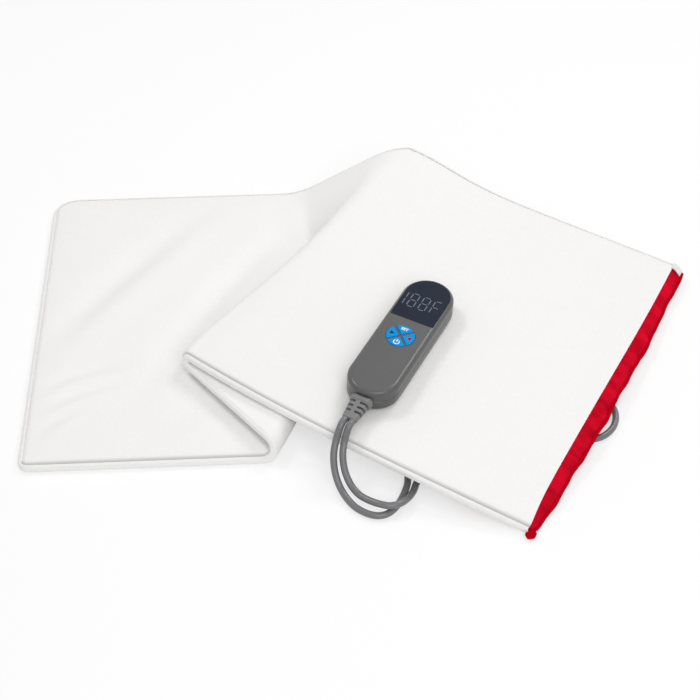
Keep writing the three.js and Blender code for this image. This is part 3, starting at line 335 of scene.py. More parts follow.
def moulded_grain():
    """Fine grain of moulded plastic: a colour that drifts a little, a roughness and a height, at a scale."""
    group = bpy.data.node_groups.new("moulded_grain", "ShaderNodeTree")
    for way, last in (("INPUT", "Scale"), ("OUTPUT", "Height")):
        group.interface.new_socket("Colour", in_out=way, socket_type="NodeSocketColor")
        group.interface.new_socket("Roughness", in_out=way, socket_type="NodeSocketFloat")
        group.interface.new_socket(last, in_out=way, socket_type="NodeSocketFloat")
    given = put(group, "NodeGroupInput")
    place = put(group, "ShaderNodeTexCoord").outputs["Object"]
    fine = put(group, "ShaderNodeTexNoise", {"Vector": place, "Scale": given.outputs["Scale"], "Detail": 3})
    broad = put(group, "ShaderNodeTexNoise", {"Vector": place, "Scale": 40, "Detail": 4})
    shade = put(group, "ShaderNodeMapRange", {"Value": broad.outputs["Fac"], "To Min": 0.93, "To Max": 1.07})
    tint = put(group, "ShaderNodeVectorMath", {0: given.outputs["Colour"], "Scale": shade.outputs["Result"]},
               operation="SCALE")
    drift = put(group, "ShaderNodeMapRange", {"Value": fine.outputs["Fac"], "To Min": -0.06, "To Max": 0.06})
    rough = put(group, "ShaderNodeMath", {0: given.outputs["Roughness"], 1: drift.outputs["Result"]})
    put(group, "NodeGroupOutput", {
        "Colour": tint.outputs["Vector"], "Roughness": rough.outputs[0], "Height": fine.outputs["Fac"]})
    return group


def bare_material(name, **values):
    """A material and its Principled shader, with constant values on the shader's own sockets."""
    material = bpy.data.materials.new(name)
    material.use_nodes = True
    shader = material.node_tree.nodes["Principled BSDF"]
    for socket, value in values.items():
        shader.inputs[socket.replace("_", " ")].default_value = value
    return material, material.node_tree, shader


grain_group = moulded_grain()


def moulded_material(name, colour, roughness, scale=1500, bump_height=0.00004, **values):
    """Plastic or rubber with the moulded grain on its colour, its roughness and its bump."""
    material, tree, shader = bare_material(name, **values)
    grain = put(tree, "ShaderNodeGroup", node_tree=grain_group)
    grain.inputs["Colour"].default_value = colour
    grain.inputs["Roughness"].default_value = roughness
    grain.inputs["Scale"].default_value = scale
    bump = put(tree, "ShaderNodeBump", {
        "Height": grain.outputs["Height"], "Strength": 1, "Distance": bump_height})
    tree.links.new(grain.outputs["Colour"], shader.inputs["Base Color"])
    tree.links.new(grain.outputs["Roughness"], shader.inputs["Roughness"])
    tree.links.new(bump.outputs["Normal"], shader.inputs["Normal"])
    return material


def coil_places():
    """A steady spiral in and out again, which climbs one layer in the half turn where it reverses.

    The radius is the inner radius plus the pitch times the turns from the middle of the winding.
    """
    turn = np.linspace(0, coil_turns, round(coil_turns * coil_loop_steps) + 1)
    radius = coil_inner_radius + coil_pitch * abs(turn - coil_turns / 2)
    climb = np.clip((turn - coil_turns / 2) * 2 + 1 / 2, 0, 1)
    angle = coil_start - 2 * np.pi * turn
    height = floor_line + tie_thickness + tie_gap + coil_pitch * climb
    return coil_middle + np.stack([radius * np.cos(angle), radius * np.sin(angle), height], -1)


def cord_exit(side):
    """Where a cord leaves the strain relief, and a place one diameter further on in line with it."""
    end = -housing_length / 2 - relief_start - relief_length - face_gap
    x = side * cord_pitch / 2
    return on_controller([[x, end - back, relief_height] for back in (0, 2 * cord_radius)])


def mains_path():
    """From the controller, round its coil and on to the plug."""
    coil = coil_places()
    stand_off = np.array([face_gap + 2 * cord_radius, face_gap])
    before = coil[0] - stand_off[:, None] * [0, 1, 0]
    after = coil[-1] - stand_off[::-1, None] * [1, 0, 0]
    plug_face = plug_place[1] - plug_relief_length - 2 * face_gap
    foot = [[plug_place[0], plug_face - back, plug_middle_height] for back in (2 * cord_radius, 0)]
    laid = on_layout(np.concatenate([mains_places, before, coil, after, tail_places, foot]))
    return smooth_path(np.concatenate([cord_exit(-1), laid]), cord_samples)


def lead_path():
    """From the controller, over the mains cord, and by a half turn back to the boot under the pad's end."""
    boot_low, boot_high = (np.array(corner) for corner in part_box("pad_lead_boot"))
    turn = np.linspace(-np.pi / 2, np.pi / 2, lead_turn_steps + 1)
    bend = lead_turn_middle + lead_turn_radius * np.stack([np.cos(turn), np.sin(turn), 0 * turn], -1)
    middle = (boot_low + boot_high) / 2
    face = [[boot_high[0] + face_gap + back, middle[1], middle[2]] for back in (2 * cord_radius, 0)]
    laid = on_layout(np.concatenate([lead_places, bend]))
    return smooth_path(np.concatenate([cord_exit(1), laid, face]), cord_samples)


cord_sheath = moulded_material(
    "cord_sheath", paint(112, 112, 114), roughness=0.24, scale=900, bump_height=0.00003)
mains_line = mains_path()
lead_line = lead_path()
mains_cord = make_piece("mains_cord", *loft(tube_rings(mains_line, cord_radius, cord_sides)), cord_sheath)
pad_lead = make_piece("pad_lead_cord", *loft(tube_rings(lead_line, cord_radius, cord_sides)), cord_sheath)
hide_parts("mains_cord_run", "mains_cord_coil", "mains_cord_tail")
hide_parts("pad_lead")


# Coil tie. A black woven strap goes once round the coil's section and keeps its turns together. It lies flat
# on the table under them, and its ends are joined into one loop.
tie_width = 0.009
tie_angle = np.radians(20)
tie_corner = 0.00125
tie_corner_steps = 6
thread_height = 0.00008


def woven_threads():
    """Cloth seen close: threads over and under each other along and across, as a height and a shade."""
    group = bpy.data.node_groups.new("woven_threads", "ShaderNodeTree")
    group.interface.new_socket("Place", in_out="INPUT", socket_type="NodeSocketVector")
    group.interface.new_socket("Threads", in_out="INPUT", socket_type="NodeSocketFloat")
    for name in ("Height", "Shade"):
        group.interface.new_socket(name, in_out="OUTPUT", socket_type="NodeSocketFloat")
    given = put(group, "NodeGroupInput")
    waves = []
    for direction in ("X", "Y"):
        wave = put(group, "ShaderNodeTexWave", {
            "Vector": given.outputs["Place"], "Scale": given.outputs["Threads"], "Distortion": 0.6,
            "Detail": 1, "Detail Scale": 2}, bands_direction=direction, wave_profile="SIN")
        waves.append(wave.outputs["Fac"])
    crossing = put(group, "ShaderNodeMath", {0: waves[0], 1: waves[1]}, operation="MULTIPLY")
    mottle = put(group, "ShaderNodeTexNoise", {"Vector": given.outputs["Place"], "Scale": 60, "Detail": 4})
    shade = put(group, "ShaderNodeMapRange", {"Value": mottle.outputs["Fac"], "To Min": 0.9, "To Max": 1.08})
    put(group, "NodeGroupOutput", {"Height": crossing.outputs[0], "Shade": shade.outputs["Result"]})
    return group


threads_group = woven_threads()


def cloth_material(name, colour, roughness, threads, coordinates="UV", painted_sheen_patches=None, **values):
    """Woven cloth: the colour times the threads' shade, and a bump from their height.

    Painted sheen and shade: patches, given as their number to a metre both ways and a strength, lighten and
    darken it softly.
    """
    material, tree, shader = bare_material(name, **values)
    shader.inputs["Roughness"].default_value = roughness
    place = put(tree, "ShaderNodeTexCoord").outputs[coordinates]
    weave = put(tree, "ShaderNodeGroup", node_tree=threads_group)
    tree.links.new(place, weave.inputs["Place"])
    weave.inputs["Threads"].default_value = threads
    shade = weave.outputs["Shade"]
    # Painted sheen and shade: soft noise patches brighten and darken the cloth's colour.
    if painted_sheen_patches:
        along, across, strength = painted_sheen_patches
        spread = put(tree, "ShaderNodeMapping", {"Vector": place, "Scale": (along, across, 1)})
        noise = put(tree, "ShaderNodeTexNoise", {"Vector": spread.outputs["Vector"], "Scale": 1, "Detail": 2})
        painted_sheen_swing = put(tree, "ShaderNodeMapRange", {
            "Value": noise.outputs["Fac"], "From Min": 0.3, "From Max": 0.7,
            "To Min": 1 - strength, "To Max": 1 + strength})
        product = put(tree, "ShaderNodeMath", {0: shade, 1: painted_sheen_swing.outputs["Result"]}, operation="MULTIPLY")
        shade = product.outputs[0]
    tint = put(tree, "ShaderNodeVectorMath", {0: colour[:3], "Scale": shade}, operation="SCALE")
    bump = put(tree, "ShaderNodeBump", {
        "Height": weave.outputs["Height"], "Strength": 1, "Distance": thread_height})
    tree.links.new(tint.outputs["Vector"], shader.inputs["Base Color"])
    tree.links.new(bump.outputs["Normal"], shader.inputs["Normal"])
    return material


def rounded_rectangle(width, height, radius, steps):
    """Points round a rectangle with round corners: each corner's middle plus its radius times (cos, sin)."""
    turn = (np.arange(4)[:, None] + np.linspace(0, 1, steps + 1)[None]) * np.pi / 2
    across = np.array([1, -1, -1, 1])[:, None] * (width / 2 - radius) + radius * np.cos(turn)
    upright = np.array([1, 1, -1, -1])[:, None] * (height / 2 - radius) + radius * np.sin(turn)
    return np.stack([across.ravel(), upright.ravel()], -1)


def ring_grid(rings):
    """Rings joined each to the next and the last to the first, which closes on itself like a torus."""
    count, sides = rings.shape[:2]
    index = np.arange(count * sides).reshape(count, sides)
    across = np.roll(index, -1, 1)
    walls = np.stack([index, across, np.roll(across, -1, 0), np.roll(index, -1, 0)], -1)
    return rings.reshape(-1, 3), [walls.reshape(-1, 4)]


def tie_strap():
    """A rounded rectangle round the coil's section, in a plane through its middle, with a strap's section."""
    inner = coil_inner_radius - cord_radius - tie_gap
    outer = coil_inner_radius + coil_pitch * coil_turns / 2 + cord_radius + tie_gap
    inside_height = 3 * tie_gap + coil_pitch + 2 * cord_radius
    middle = [(inner + outer) / 2, tie_thickness + inside_height / 2]
    rings = []
    for grow, side in ((0, -1), (1, -1), (1, 1), (0, 1)):
        size = grow * tie_thickness
        outline = middle + rounded_rectangle(
            outer - inner + 2 * size, inside_height + 2 * size, tie_corner + size, tie_corner_steps)
        sideways = side * tie_width / 2
        rings.append(np.stack([
            coil_middle[0] + outline[:, 0] * np.cos(tie_angle) - sideways * np.sin(tie_angle),
            coil_middle[1] + outline[:, 0] * np.sin(tie_angle) + sideways * np.cos(tie_angle),
            outline[:, 1]], -1))
    return ring_grid(on_layout(np.array(rings)).swapaxes(0, 1))


strap_cloth = cloth_material(
    "strap_cloth", paint(30, 30, 32), roughness=0.75, threads=700, coordinates="Object")
coil_strap = make_piece("coil_strap", *tie_strap(), strap_cloth)
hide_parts("coil_tie")


# Plug. A moulded two-blade plug with finger grips and a ribbed relief lies beside the coil, under the fold.
# Its body and its relief are of the cord's own plastic, moulded round the cord's end and the blades' feet.
plug_length = 0.026
plug_width = 0.024
plug_height = 0.015
plug_edge = 0.0035
plug_neck_width = 0.0165
plug_neck_share = 0.5
plug_samples = 41
corner_steps = 6
end_inset_share = 0.8
plug_grip_depth = 0.0006
plug_grips = 9
plug_grip_middle = 0.35
plug_grip_spread = 0.16
plug_relief_radius = 0.005
plug_relief_end_radius = 0.0039
plug_relief_sides = 24
relief_ribs = 4
rib_groove = 0.0006
rib_steepness = 1.8
rib_samples = 49
brushing_drift = 0.08
brushing_height = 0.00002


def end_cut(share, length, radius):
    """How far both ends are drawn in: the radius less a quarter circle's height, over the last radius."""
    inward = np.clip(np.minimum(share, 1 - share) * length / radius, 0, 1)
    return radius * (1 - np.sqrt(1 - (1 - inward) ** 2))


def plug_solid():
    """Rounded rectangles along Y, drawn in at both ends, widened by a smooth step and waved at the grips."""
    share = np.linspace(0, 1, plug_samples)
    inset = end_cut(share, plug_length, plug_edge) * end_inset_share
    widening = np.clip(share / plug_neck_share, 0, 1)
    width = plug_neck_width + (plug_width - plug_neck_width) * widening ** 2 * (3 - 2 * widening)
    fade = np.exp(-((share - plug_grip_middle) / plug_grip_spread) ** 2)
    grips = plug_grip_depth * (1 - np.cos(share * 2 * np.pi * plug_grips)) * fade
    rings = []
    for y, wide, cut, grip in zip(share * plug_length, width, inset, grips):
        outline = rounded_rectangle(wide - 2 * cut - 2 * grip, plug_height - 2 * cut, plug_edge, corner_steps)
        rings.append(np.stack([outline[:, 0], np.full(len(outline), y), outline[:, 1]], -1))
    return loft(on_layout(plug_place + np.array(rings) + [0, 0, plug_middle_height]))


def ribbed_radius(share, radius, end_radius, groove):
    """A taper less a clipped sine of the way along it, which cuts one groove fewer than it has ribs."""
    turn = np.pi * (share * (2 * relief_ribs - 1) - 1)
    wave = np.clip(np.sin(turn) * rib_steepness, 0, 1)
    return radius + (end_radius - radius) * share - groove * wave


def plug_relief_solid():
    """A round ribbed taper behind the plug, from its back face towards the cord."""
    share = np.linspace(0, 1, rib_samples)
    radius = ribbed_radius(share, plug_relief_radius, plug_relief_end_radius, rib_groove)
    back = -face_gap - share * plug_relief_length
    line = plug_place + np.stack([0 * share, back, plug_middle_height + 0 * share], -1)
    return loft(tube_rings(on_layout(line), radius, plug_relief_sides))


plug_body = make_piece("plug_moulding", *plug_solid(), cord_sheath, sharp_angle=60)
plug_relief = make_piece("plug_relief", *plug_relief_solid(), cord_sheath, sharp_angle=60)
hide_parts("plug_body")
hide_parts("plug_strain_relief")


def metal_material(name, colour, roughness):
    """Bright metal with fine brushing along one way, as a bump and a drift of its roughness."""
    material, tree, shader = bare_material(name, Metallic=1, Base_Color=colour)
    place = put(tree, "ShaderNodeTexCoord").outputs["Object"]
    stretched = put(tree, "ShaderNodeMapping", {"Vector": place, "Scale": (1, 12, 12)})
    brushing = put(tree, "ShaderNodeTexNoise", {
        "Vector": stretched.outputs["Vector"], "Scale": 600, "Detail": 3})
    rough = put(tree, "ShaderNodeMapRange", {
        "Value": brushing.outputs["Fac"],
        "To Min": roughness - brushing_drift, "To Max": roughness + brushing_drift})
    bump = put(tree, "ShaderNodeBump", {
        "Height": brushing.outputs["Fac"], "Strength": 1, "Distance": brushing_height})
    tree.links.new(rough.outputs["Result"], shader.inputs["Roughness"])
    tree.links.new(bump.outputs["Normal"], shader.inputs["Normal"])
    return material


def dress_node(name, material):
    """A node that keeps its own shape gets a finish of its own."""
    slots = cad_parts[name].data.materials
    slots.clear()
    slots.append(material)


plug_brass = metal_material("plug_brass", paint(214, 180, 106), roughness=0.3)
for blade in ("plug_blade_1", "plug_blade_2"):
    dress_node(blade, plug_brass)


# Boot and strain relief. The pad's lead enters the inner pad through a soft grey boot, and both cords leave
# the controller through one flat rubber relief with a collar and four ribs. Rows of slots part the ribs, and
# each row leaves a bridge over the cords, off the middle. The rows below mirror the rows above.
boot_edge = 0.0028
boot_samples = 25
neck_length = 0.005
relief_top = (0.0205, 0.0112)
relief_end = (0.0146, 0.0078)
relief_groove = 0.0012
relief_rounding = 0.0009
relief_corner_share = 0.46
relief_corner_steps = 8
collar_share = 0.17
collar_step = 0.0007
slot_shares = (0.27, 0.48, 0.69)
slot_width = 0.0023
slot_half_shares = (0.5, 0.46)
slot_floor = 0.0004
slot_bridge = (-0.15, 0.06)
slot_side_share = 0.36
slot_side_drop = 0.0021


def boot_solid():
    """Rounded rectangles along X between the ends of the boot's box, drawn in at both ends."""
    low, high = (np.array(corner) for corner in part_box("pad_lead_boot"))
    size = high - low
    middle = (low + high) / 2
    share = np.linspace(0, 1, boot_samples)
    inset = end_cut(share, size[0], boot_edge) * end_inset_share
    rings = []
    for x, cut in zip(low[0] + share * size[0], inset):
        radius = min(boot_edge, size[2] / 2 - cut)
        outline = middle[1:] + rounded_rectangle(size[1] - 2 * cut, size[2] - 2 * cut, radius, corner_steps)
        rings.append(np.column_stack([np.full(len(outline), x), outline]))
    return loft(np.array(rings))


def relief_size(share):
    """The relief's width and thickness at a share of its length, before its steps and roundings."""
    return np.array(relief_top) + (np.array(relief_end) - relief_top) * share


def relief_ring(width, thickness, y):
    """A flat rounded section of the relief, in the controller's frame at a place along it."""
    outline = rounded_rectangle(width, thickness, thickness * relief_corner_share, relief_corner_steps)
    return np.stack([outline[:, 0], np.full(len(outline), y), relief_height + outline[:, 1]], -1)


def relief_solid():
    """Flat rounded sections along -Y that narrow from collar to cords, drawn in at the neck and both ends."""
    share = np.linspace(0, 1, rib_samples)
    cut = end_cut(share, relief_length, relief_rounding) + collar_step * (share > collar_share)
    places = [neck_length, 0, *(-share * relief_length)]
    insets = [relief_groove, relief_groove, *cut]
    rings = []
    for part, y, inset in zip([0, 0, *share], places, insets):
        width, thickness = relief_size(part) - 2 * inset
        rings.append(relief_ring(width, thickness, y - housing_length / 2 - relief_start))
    return loft(on_controller(np.array(rings)))


def slot_tools():
    """Blocks that cut the slots: a square one for the shorter slot, and one that also goes down the side.

    The lower ones are a little narrower, so that no two of their faces lie in one plane.
    """
    tools = []
    for share in slot_shares:
        width, thickness = relief_size(share)
        y = -housing_length / 2 - relief_start - share * relief_length
        left, right = (place * width for place in slot_bridge)
        side = slot_side_share * width
        short = [[-width, slot_floor], [left, slot_floor], [left, thickness], [-width, thickness]]
        long = [[side, slot_floor], [side, -slot_side_drop], [width, -slot_side_drop], [width, thickness],
                [right, thickness], [right, slot_floor]]
        for flip, half_share in zip((1, -1), slot_half_shares):
            half = slot_width * half_share
            for outline in (short, long):
                ring = np.array(outline) * flip
                rings = [[[x, y + step, relief_height + z] for x, z in ring] for step in (-half, half)]
                tools.append(tool_body(loft(on_controller(np.array(rings)))))
    return tools


def cut_piece(piece, tools, operation):
    """The piece with each tool taken away or added, as a plain mesh; the tools are removed."""
    for tool in tools:
        change = piece.modifiers.new("change", "BOOLEAN")
        change.operation = operation
        change.solver = "EXACT"
        change.object = tool
    finished = bpy.data.meshes.new_from_object(piece.evaluated_get(bpy.context.evaluated_depsgraph_get()))
    piece.modifiers.clear()
    piece.data = finished
    for tool in tools:
        bpy.data.objects.remove(tool)
    return piece


def tool_body(solid):
    """A closed body that only cuts another."""
    points, faces = join_solids([solid])
    mesh = bpy.data.meshes.new("tool")
    mesh.from_pydata(points.tolist(), [], [face for group in faces for face in group.tolist()])
    tool = bpy.data.objects.new("tool", mesh)
    bpy.context.collection.objects.link(tool)
    return tool


relief_rubber = moulded_material("relief_rubber", paint(118, 118, 119), roughness=0.4, scale=1100)
pad_boot = make_piece("lead_boot", *boot_solid(), cord_sheath, sharp_angle=60)
cord_relief = make_piece("cord_relief", *relief_solid(), relief_rubber)
cut_piece(cord_relief, slot_tools(), "DIFFERENCE")
cord_relief.data.set_sharp_from_angle(angle=np.radians(50))
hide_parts("pad_lead_boot")
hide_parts("controller_strain_relief")


# Cover. Two panels of white brushed fleece are sewn to an edge band round three sides and left open at the
# red end. The pad lies flat at its left, turns back over itself at the fold and over again, which makes three
# layers at the front edge and a low tent at the back edge, and slopes down to the surface at its right.
pad_width = 0.356
pad_thickness = 0.012
corner_radius = 0.022
near_corner_radius = 0.006
flat_reach_front = 0.203
flat_reach_back = 0.225
fold_bow = 0.0405
tongue_run = 0.0986
tongue_shift = 0.059
tent_run = 0.130
tent_rise = 0.0534
tent_radius = 0.070
turn_radius = 0.007
run_steepness = 0.05
radius_growth = 8
fold_heading_front = -27
flap_heading = -31.6
edge_heading_out = -42
end_corner = np.array([0.4205, -0.0888, 0])
flap_bow = 0.0126
end_lift = 0.009
red_end_length = 0.0105
red_end_bow = 0.002
corner_reach = 0.008
corner_reach_fade = 16
end_bow = 0.0065
end_bow_skew = 0.6
front_fall_power = 2.6
back_knee_share = 0.32
back_knee_width = 0.22
back_end_share = 0.12
lift_skew = 0.75
rim_thickness_share = 0.72
puff_width = 0.016
bottom_panel_shares = (0, 0.125)
top_panel_shares = (0.875, 1)
band_gap = 0.0002
band_bulge = 0.0028
band_samples = 13
band_inner_shares = (0.8, 0.5, 0.2)
band_power = 3.2
band_root = 2.2
seam_depth = 0.0028
seam_width = 0.0016
# The painted groove shade lies between these distances from the rim: darkest at the first, none at the second.
seam_painted_shade_reach = (0.0008, 0.0028)
fleece_white = (246, 245, 244)
fleece_scale = 700
nap_height = 0.00035
lip_set_back = 0.062
flat_cells = [("corner", 9), ("flat", 62), ("turn_up", 14), ("tongue", 30), ("turn_over", 14)]
flap_cells = 118
across_cells = 108
rim_lines = np.array([0, 0.0012, 0.0026, 0.0044, 0.0070])


def mix(a, b, share):
    """From a towards b by a share of the way."""
    return a + (b - a) * share


def heading(degrees):
    """The level direction at that many degrees from X."""
    angle = np.radians(degrees)
    return np.stack([np.cos(angle), np.sin(angle), 0 * angle], -1)


def fold_start(b):
    """Where the flat part ends, at a share b of the width: a straight line plus a parabola's bow."""
    x = mix(flat_reach_front, flat_reach_back, b) + fold_bow * 4 * b * (1 - b)
    return np.stack([x, pad_width * b, pad_thickness / 2 + 0 * b], -1)


def fold_section(b):
    """Two equal arcs with a straight between them, which take the pad to a run and a rise further on.

    At the front edge the run is backwards. The cloth also shifts sideways, at its own rate in each arc.
    """
    run = -tongue_run + run_steepness * b + (tongue_run + tent_run - run_steepness) * b ** 2
    rise = mix(4 * turn_radius, tent_rise, b ** 2)
    radius = mix(turn_radius, tent_radius, b ** radius_growth)
    climb = rise - 2 * radius
    span = np.hypot(run, climb)
    angle = np.arctan2(climb, run) + np.arcsin(np.minimum(1, 2 * radius / span))
    straight = np.sqrt(np.maximum(0, span ** 2 - 4 * radius ** 2))
    way = mix(fold_heading_front, 0, b)
    shift = tongue_shift * (1 - b) ** 2
    rate_in = np.tan(np.radians(-way)) * (1 - b)
    rate_out = np.tan(np.radians(edge_heading_out - way)) * (1 - b)
    arc = radius * angle
    rate_middle = (shift - arc * (rate_in + rate_out) / 2) / (arc + straight)
    return run, rise, radius, angle, straight, way, shift, arc, rate_in, rate_middle, rate_out


def fold_point(b, piece, share):
    """A point of the fold: forward and up by the arc's sine and cosine, sideways by a rate times the way."""
    run, rise, radius, angle, straight, way, shift, arc, rate_in, rate_middle, rate_out = fold_section(b)
    turned = angle * {"turn_up": share, "tongue": 1 + 0 * share, "turn_over": 1 - share}[piece]
    forward = radius * np.sin(turned)
    height = radius * (1 - np.cos(turned))
    end_rate = rate_out if piece == "turn_over" else rate_in
    sideways = radius * turned * mix(end_rate, rate_middle, radius * turned / arc / 2)
    if piece == "tongue":
        forward = forward + straight * share * np.cos(angle)
        height = height + straight * share * np.sin(angle)
        sideways = sideways + straight * share * rate_middle
    if piece == "turn_over":
        forward, height, sideways = run - forward, rise - height, shift - sideways
    level = heading(way) * forward[..., None] + heading(way + 90) * sideways[..., None]
    return fold_start(b) + level + height[..., None] * [0, 0, 1]


flap_length = np.linalg.norm(fold_point(np.zeros(1), "turn_over", np.ones(1))[0] - end_corner)
cover_end_share = 1 - red_end_length / flap_length
lip_share = 1 - (red_end_length + lip_set_back) / flap_length


def flap_point(b, share):
    """The right part: straight lines from fold to end, bowed at the front edge, that fall to the surface."""
    start = fold_point(b, "turn_over", np.ones_like(b))
    rise = fold_section(b)[1]
    skewed = b ** end_bow_skew
    along = heading(flap_heading)
    end = end_corner + pad_width * b[..., None] * heading(flap_heading + 90)
    end = end + (end_bow * 4 * skewed * (1 - skewed))[..., None] * along
    point = mix(start, end, share[..., None])
    bow = flap_bow * 4 * share * (1 - share) * (1 - b) ** 2
    past = np.maximum(0, share - cover_end_share) / (1 - cover_end_share)
    point = point + bow[..., None] * heading(flap_heading - 90)
    point = point + (red_end_bow * 4 * b * (1 - b) * past)[..., None] * along
    front_fall = 1 - share ** front_fall_power
    back_fall = mix(1 - back_knee_share, back_end_share, share) + back_knee_share * np.exp(
        -(share / back_knee_width) ** 2)
    lift = end_lift * share * np.sin(np.pi * b ** lift_skew) ** 2
    point[..., 2] = pad_thickness / 2 + rise * mix(front_fall, back_fall, b) + lift
    return point


def corner_inset(radius, x):
    """How far a round corner draws the rim in, at a distance from the pad's left end."""
    return radius - np.sqrt(radius ** 2 - np.maximum(0, radius - x) ** 2)


def pad_point(piece, share, b):
    """A point of the pad's middle surface, by piece, share along the piece and share of the width."""
    share, b = np.broadcast_arrays(share, b)
    if piece == "corner":
        x = corner_radius * (1 - np.cos(share * np.pi / 2))
        y = mix(corner_inset(near_corner_radius, x), pad_width - corner_inset(corner_radius, x), b)
        return np.stack([x, y, pad_thickness / 2 + 0 * b], -1)
    if piece == "flat":
        start = fold_start(b)
        start[..., 0] = mix(corner_radius, start[..., 0], share)
        return start
    if piece == "flap":
        return flap_point(b, share)
    return fold_point(b, piece, share)


def flap_rows(shares, b):
    """Shares along the right part for each row and column: near the cover's end they reach further at b 0.

    The reach is whole at the cover's end, nought at the red end, and fades in over the last of the cover.
    """
    from_end = (shares - cover_end_share) * flap_length
    before = np.exp(-(np.minimum(from_end, 0) / (2 * corner_reach)) ** 2)
    after = np.clip(1 - from_end / red_end_length, 0, 1)
    reach = corner_reach / flap_length * np.where(from_end < 0, before, after)
    return shares[:, None] + reach[:, None] * (1 - b[None]) ** corner_reach_fade


def pad_grid(cells, flap_shares, b):
    """Middle points, normals and distances from the left rim, row by row along the pad."""
    rows, flat_rows = [], 0
    for piece, count in cells:
        share = np.arange(0 if not rows else 1, count + 1) / count
        rows.append(pad_point(piece, share[:, None], b[None]))
        flat_rows += len(share) if piece in ("corner", "flat") else 0
    rows.append(pad_point("flap", flap_rows(flap_shares, b), b[None]))
    middle = np.concatenate(rows)
    normal = unit(np.cross(np.gradient(middle, axis=0), np.gradient(middle, axis=1)))
    from_left = np.where(np.arange(len(middle))[:, None] < flat_rows, middle[..., 0], 1)
    return middle, normal, from_left


# Soft hollows and creases of the cloth: the line that each follows, its width and its depth, and the height
# of the swell beside it. The first list is for the flat part, and the other for the part that is folded over.
# The filled valley, where the flat part turns up to the tent, is on both.
filled_valley = ([[0.254, 0.262], [0.246, 0.300], [0.232, 0.340]], 0.013, -0.0026, 0)
flat_creases = [
    filled_valley,
    ([[0.008, 0.143], [0.066, 0.227], [0.144, 0.327]], 0.015, 0.0042, 0.0030),
    ([[0.098, 0.080], [0.160, 0.195], [0.221, 0.280]], 0.014, 0.0044, 0.0022),
    ([[0.010, 0.084], [0.040, 0.104], [0.082, 0.112]], 0.008, 0.0028, 0.0014),
    ([[0.012, 0.058], [0.038, 0.078], [0.080, 0.090]], 0.007, 0.0025, 0.0012),
    ([[0.009, 0.028], [0.024, 0.046], [0.046, 0.060]], 0.006, 0.0022, 0.0010),
    ([[0.120, 0.040], [0.150, 0.052], [0.172, 0.045]], 0.012, 0.0012, 0.0008),
]
flap_creases = [
    filled_valley,
    ([[0.128, 0.090], [0.190, 0.166], [0.264, 0.247]], 0.016, 0.0030, 0),
    ([[0.213, 0.108], [0.221, 0.090], [0.238, 0.070]], 0.005, 0.0009, 0.0006),
    ([[0.330, 0.190], [0.380, 0.230], [0.440, 0.252]], 0.012, 0.0010, 0.0006),
    ([[0.380, 0.150], [0.440, 0.166], [0.520, 0.150]], 0.010, 0.0011, 0.0006),
    ([[0.402, 0.110], [0.460, 0.105], [0.515, 0.118]], 0.008, 0.0008, 0.0005),
    ([[0.300, 0.245], [0.350, 0.262], [0.400, 0.300]], 0.014, 0.0012, 0.0008),
]
crease_samples = 40
crease_end_share = 0.04
crease_fade_power = 0.6
swell_offset = 1.7


def crease_height(points, line, width, depth, swell):
    """Minus the depth times a bell of the distance from a curve, plus a swell beside it; both fade out."""
    a, middle, c = np.array(line)
    share = np.linspace(0, 1, crease_samples)[:, None]
    bend = 2 * middle - (a + c) / 2
    curve = a * (1 - share) ** 2 + 2 * bend * share * (1 - share) + c * share ** 2
    away = points[..., None, :2] - curve
    nearest = (away ** 2).sum(-1).argmin(-1)
    offset = np.take_along_axis(away, nearest[..., None, None], -2)[..., 0, :]
    way = unit(np.gradient(curve, axis=0))[nearest]
    side = offset[..., 0] * way[..., 1] - offset[..., 1] * way[..., 0]
    past = offset[..., 0] * way[..., 0] + offset[..., 1] * way[..., 1]
    place = np.clip(nearest / (crease_samples - 1), crease_end_share, 1 - crease_end_share)
    fade = np.sin(np.pi * place) ** crease_fade_power * np.exp(-(past / width) ** 2)
    raised = swell * np.exp(-((side - swell_offset * width) / width) ** 2)
    return fade * (raised - depth * np.exp(-(side / width) ** 2))


def cloth_thickness(middle, from_left, b):
    """The filled pad's thickness: thinner towards its rims, plus the creases of the part a point is on."""
    puff = 1 + 0 * from_left
    for edge in (pad_width * b[None], pad_width * (1 - b[None]), from_left):
        puff = puff * (1 - np.exp(-np.maximum(edge, 0) / puff_width))
    thickness = pad_thickness * mix(rim_thickness_share, 1, puff)
    on_flat = from_left < 1
    for creases, here in ((flat_creases, on_flat), (flap_creases, ~on_flat)):
        for line, width, depth, swell in creases:
            thickness = thickness + np.where(here, crease_height(middle, line, width, depth, swell) * puff, 0)
    return thickness


def at_level(middle, normal, thickness, level):
    """Points at a share of the thickness, over an underside that stays half a pad below the middle."""
    return middle + normal * (thickness * level - pad_thickness / 2)[..., None]


def slab(top, bottom):
    """Two grids of points of equal size, one over the other, closed by walls between their rims."""
    rows, columns = top.shape[:2]
    points = np.concatenate([top.reshape(-1, 3), bottom.reshape(-1, 3)])
    index = np.arange(rows * columns).reshape(rows, columns)
    over = np.stack([index[:-1, :-1], index[1:, :-1], index[1:, 1:], index[:-1, 1:]], -1).reshape(-1, 4)
    under = over[:, ::-1] + rows * columns
    rim = np.concatenate([index[0, :-1], index[:-1, -1], index[-1, :0:-1], index[:0:-1, 0]])
    after = np.roll(rim, -1)
    walls = np.stack([rim, after, after + rows * columns, rim + rows * columns], -1)
    return points, [over, under, walls]


def cloth_uv(middle, b):
    """Metres along and across the cloth, once for each of the two grids of a slab."""
    column = middle[:, middle.shape[1] // 2]
    along = np.concatenate([[0], np.cumsum(np.linalg.norm(np.diff(column, axis=0), axis=1))])
    one = np.stack(np.broadcast_arrays(along[:, None], pad_width * b[None]), -1).reshape(-1, 2)
    return np.concatenate([one, one])


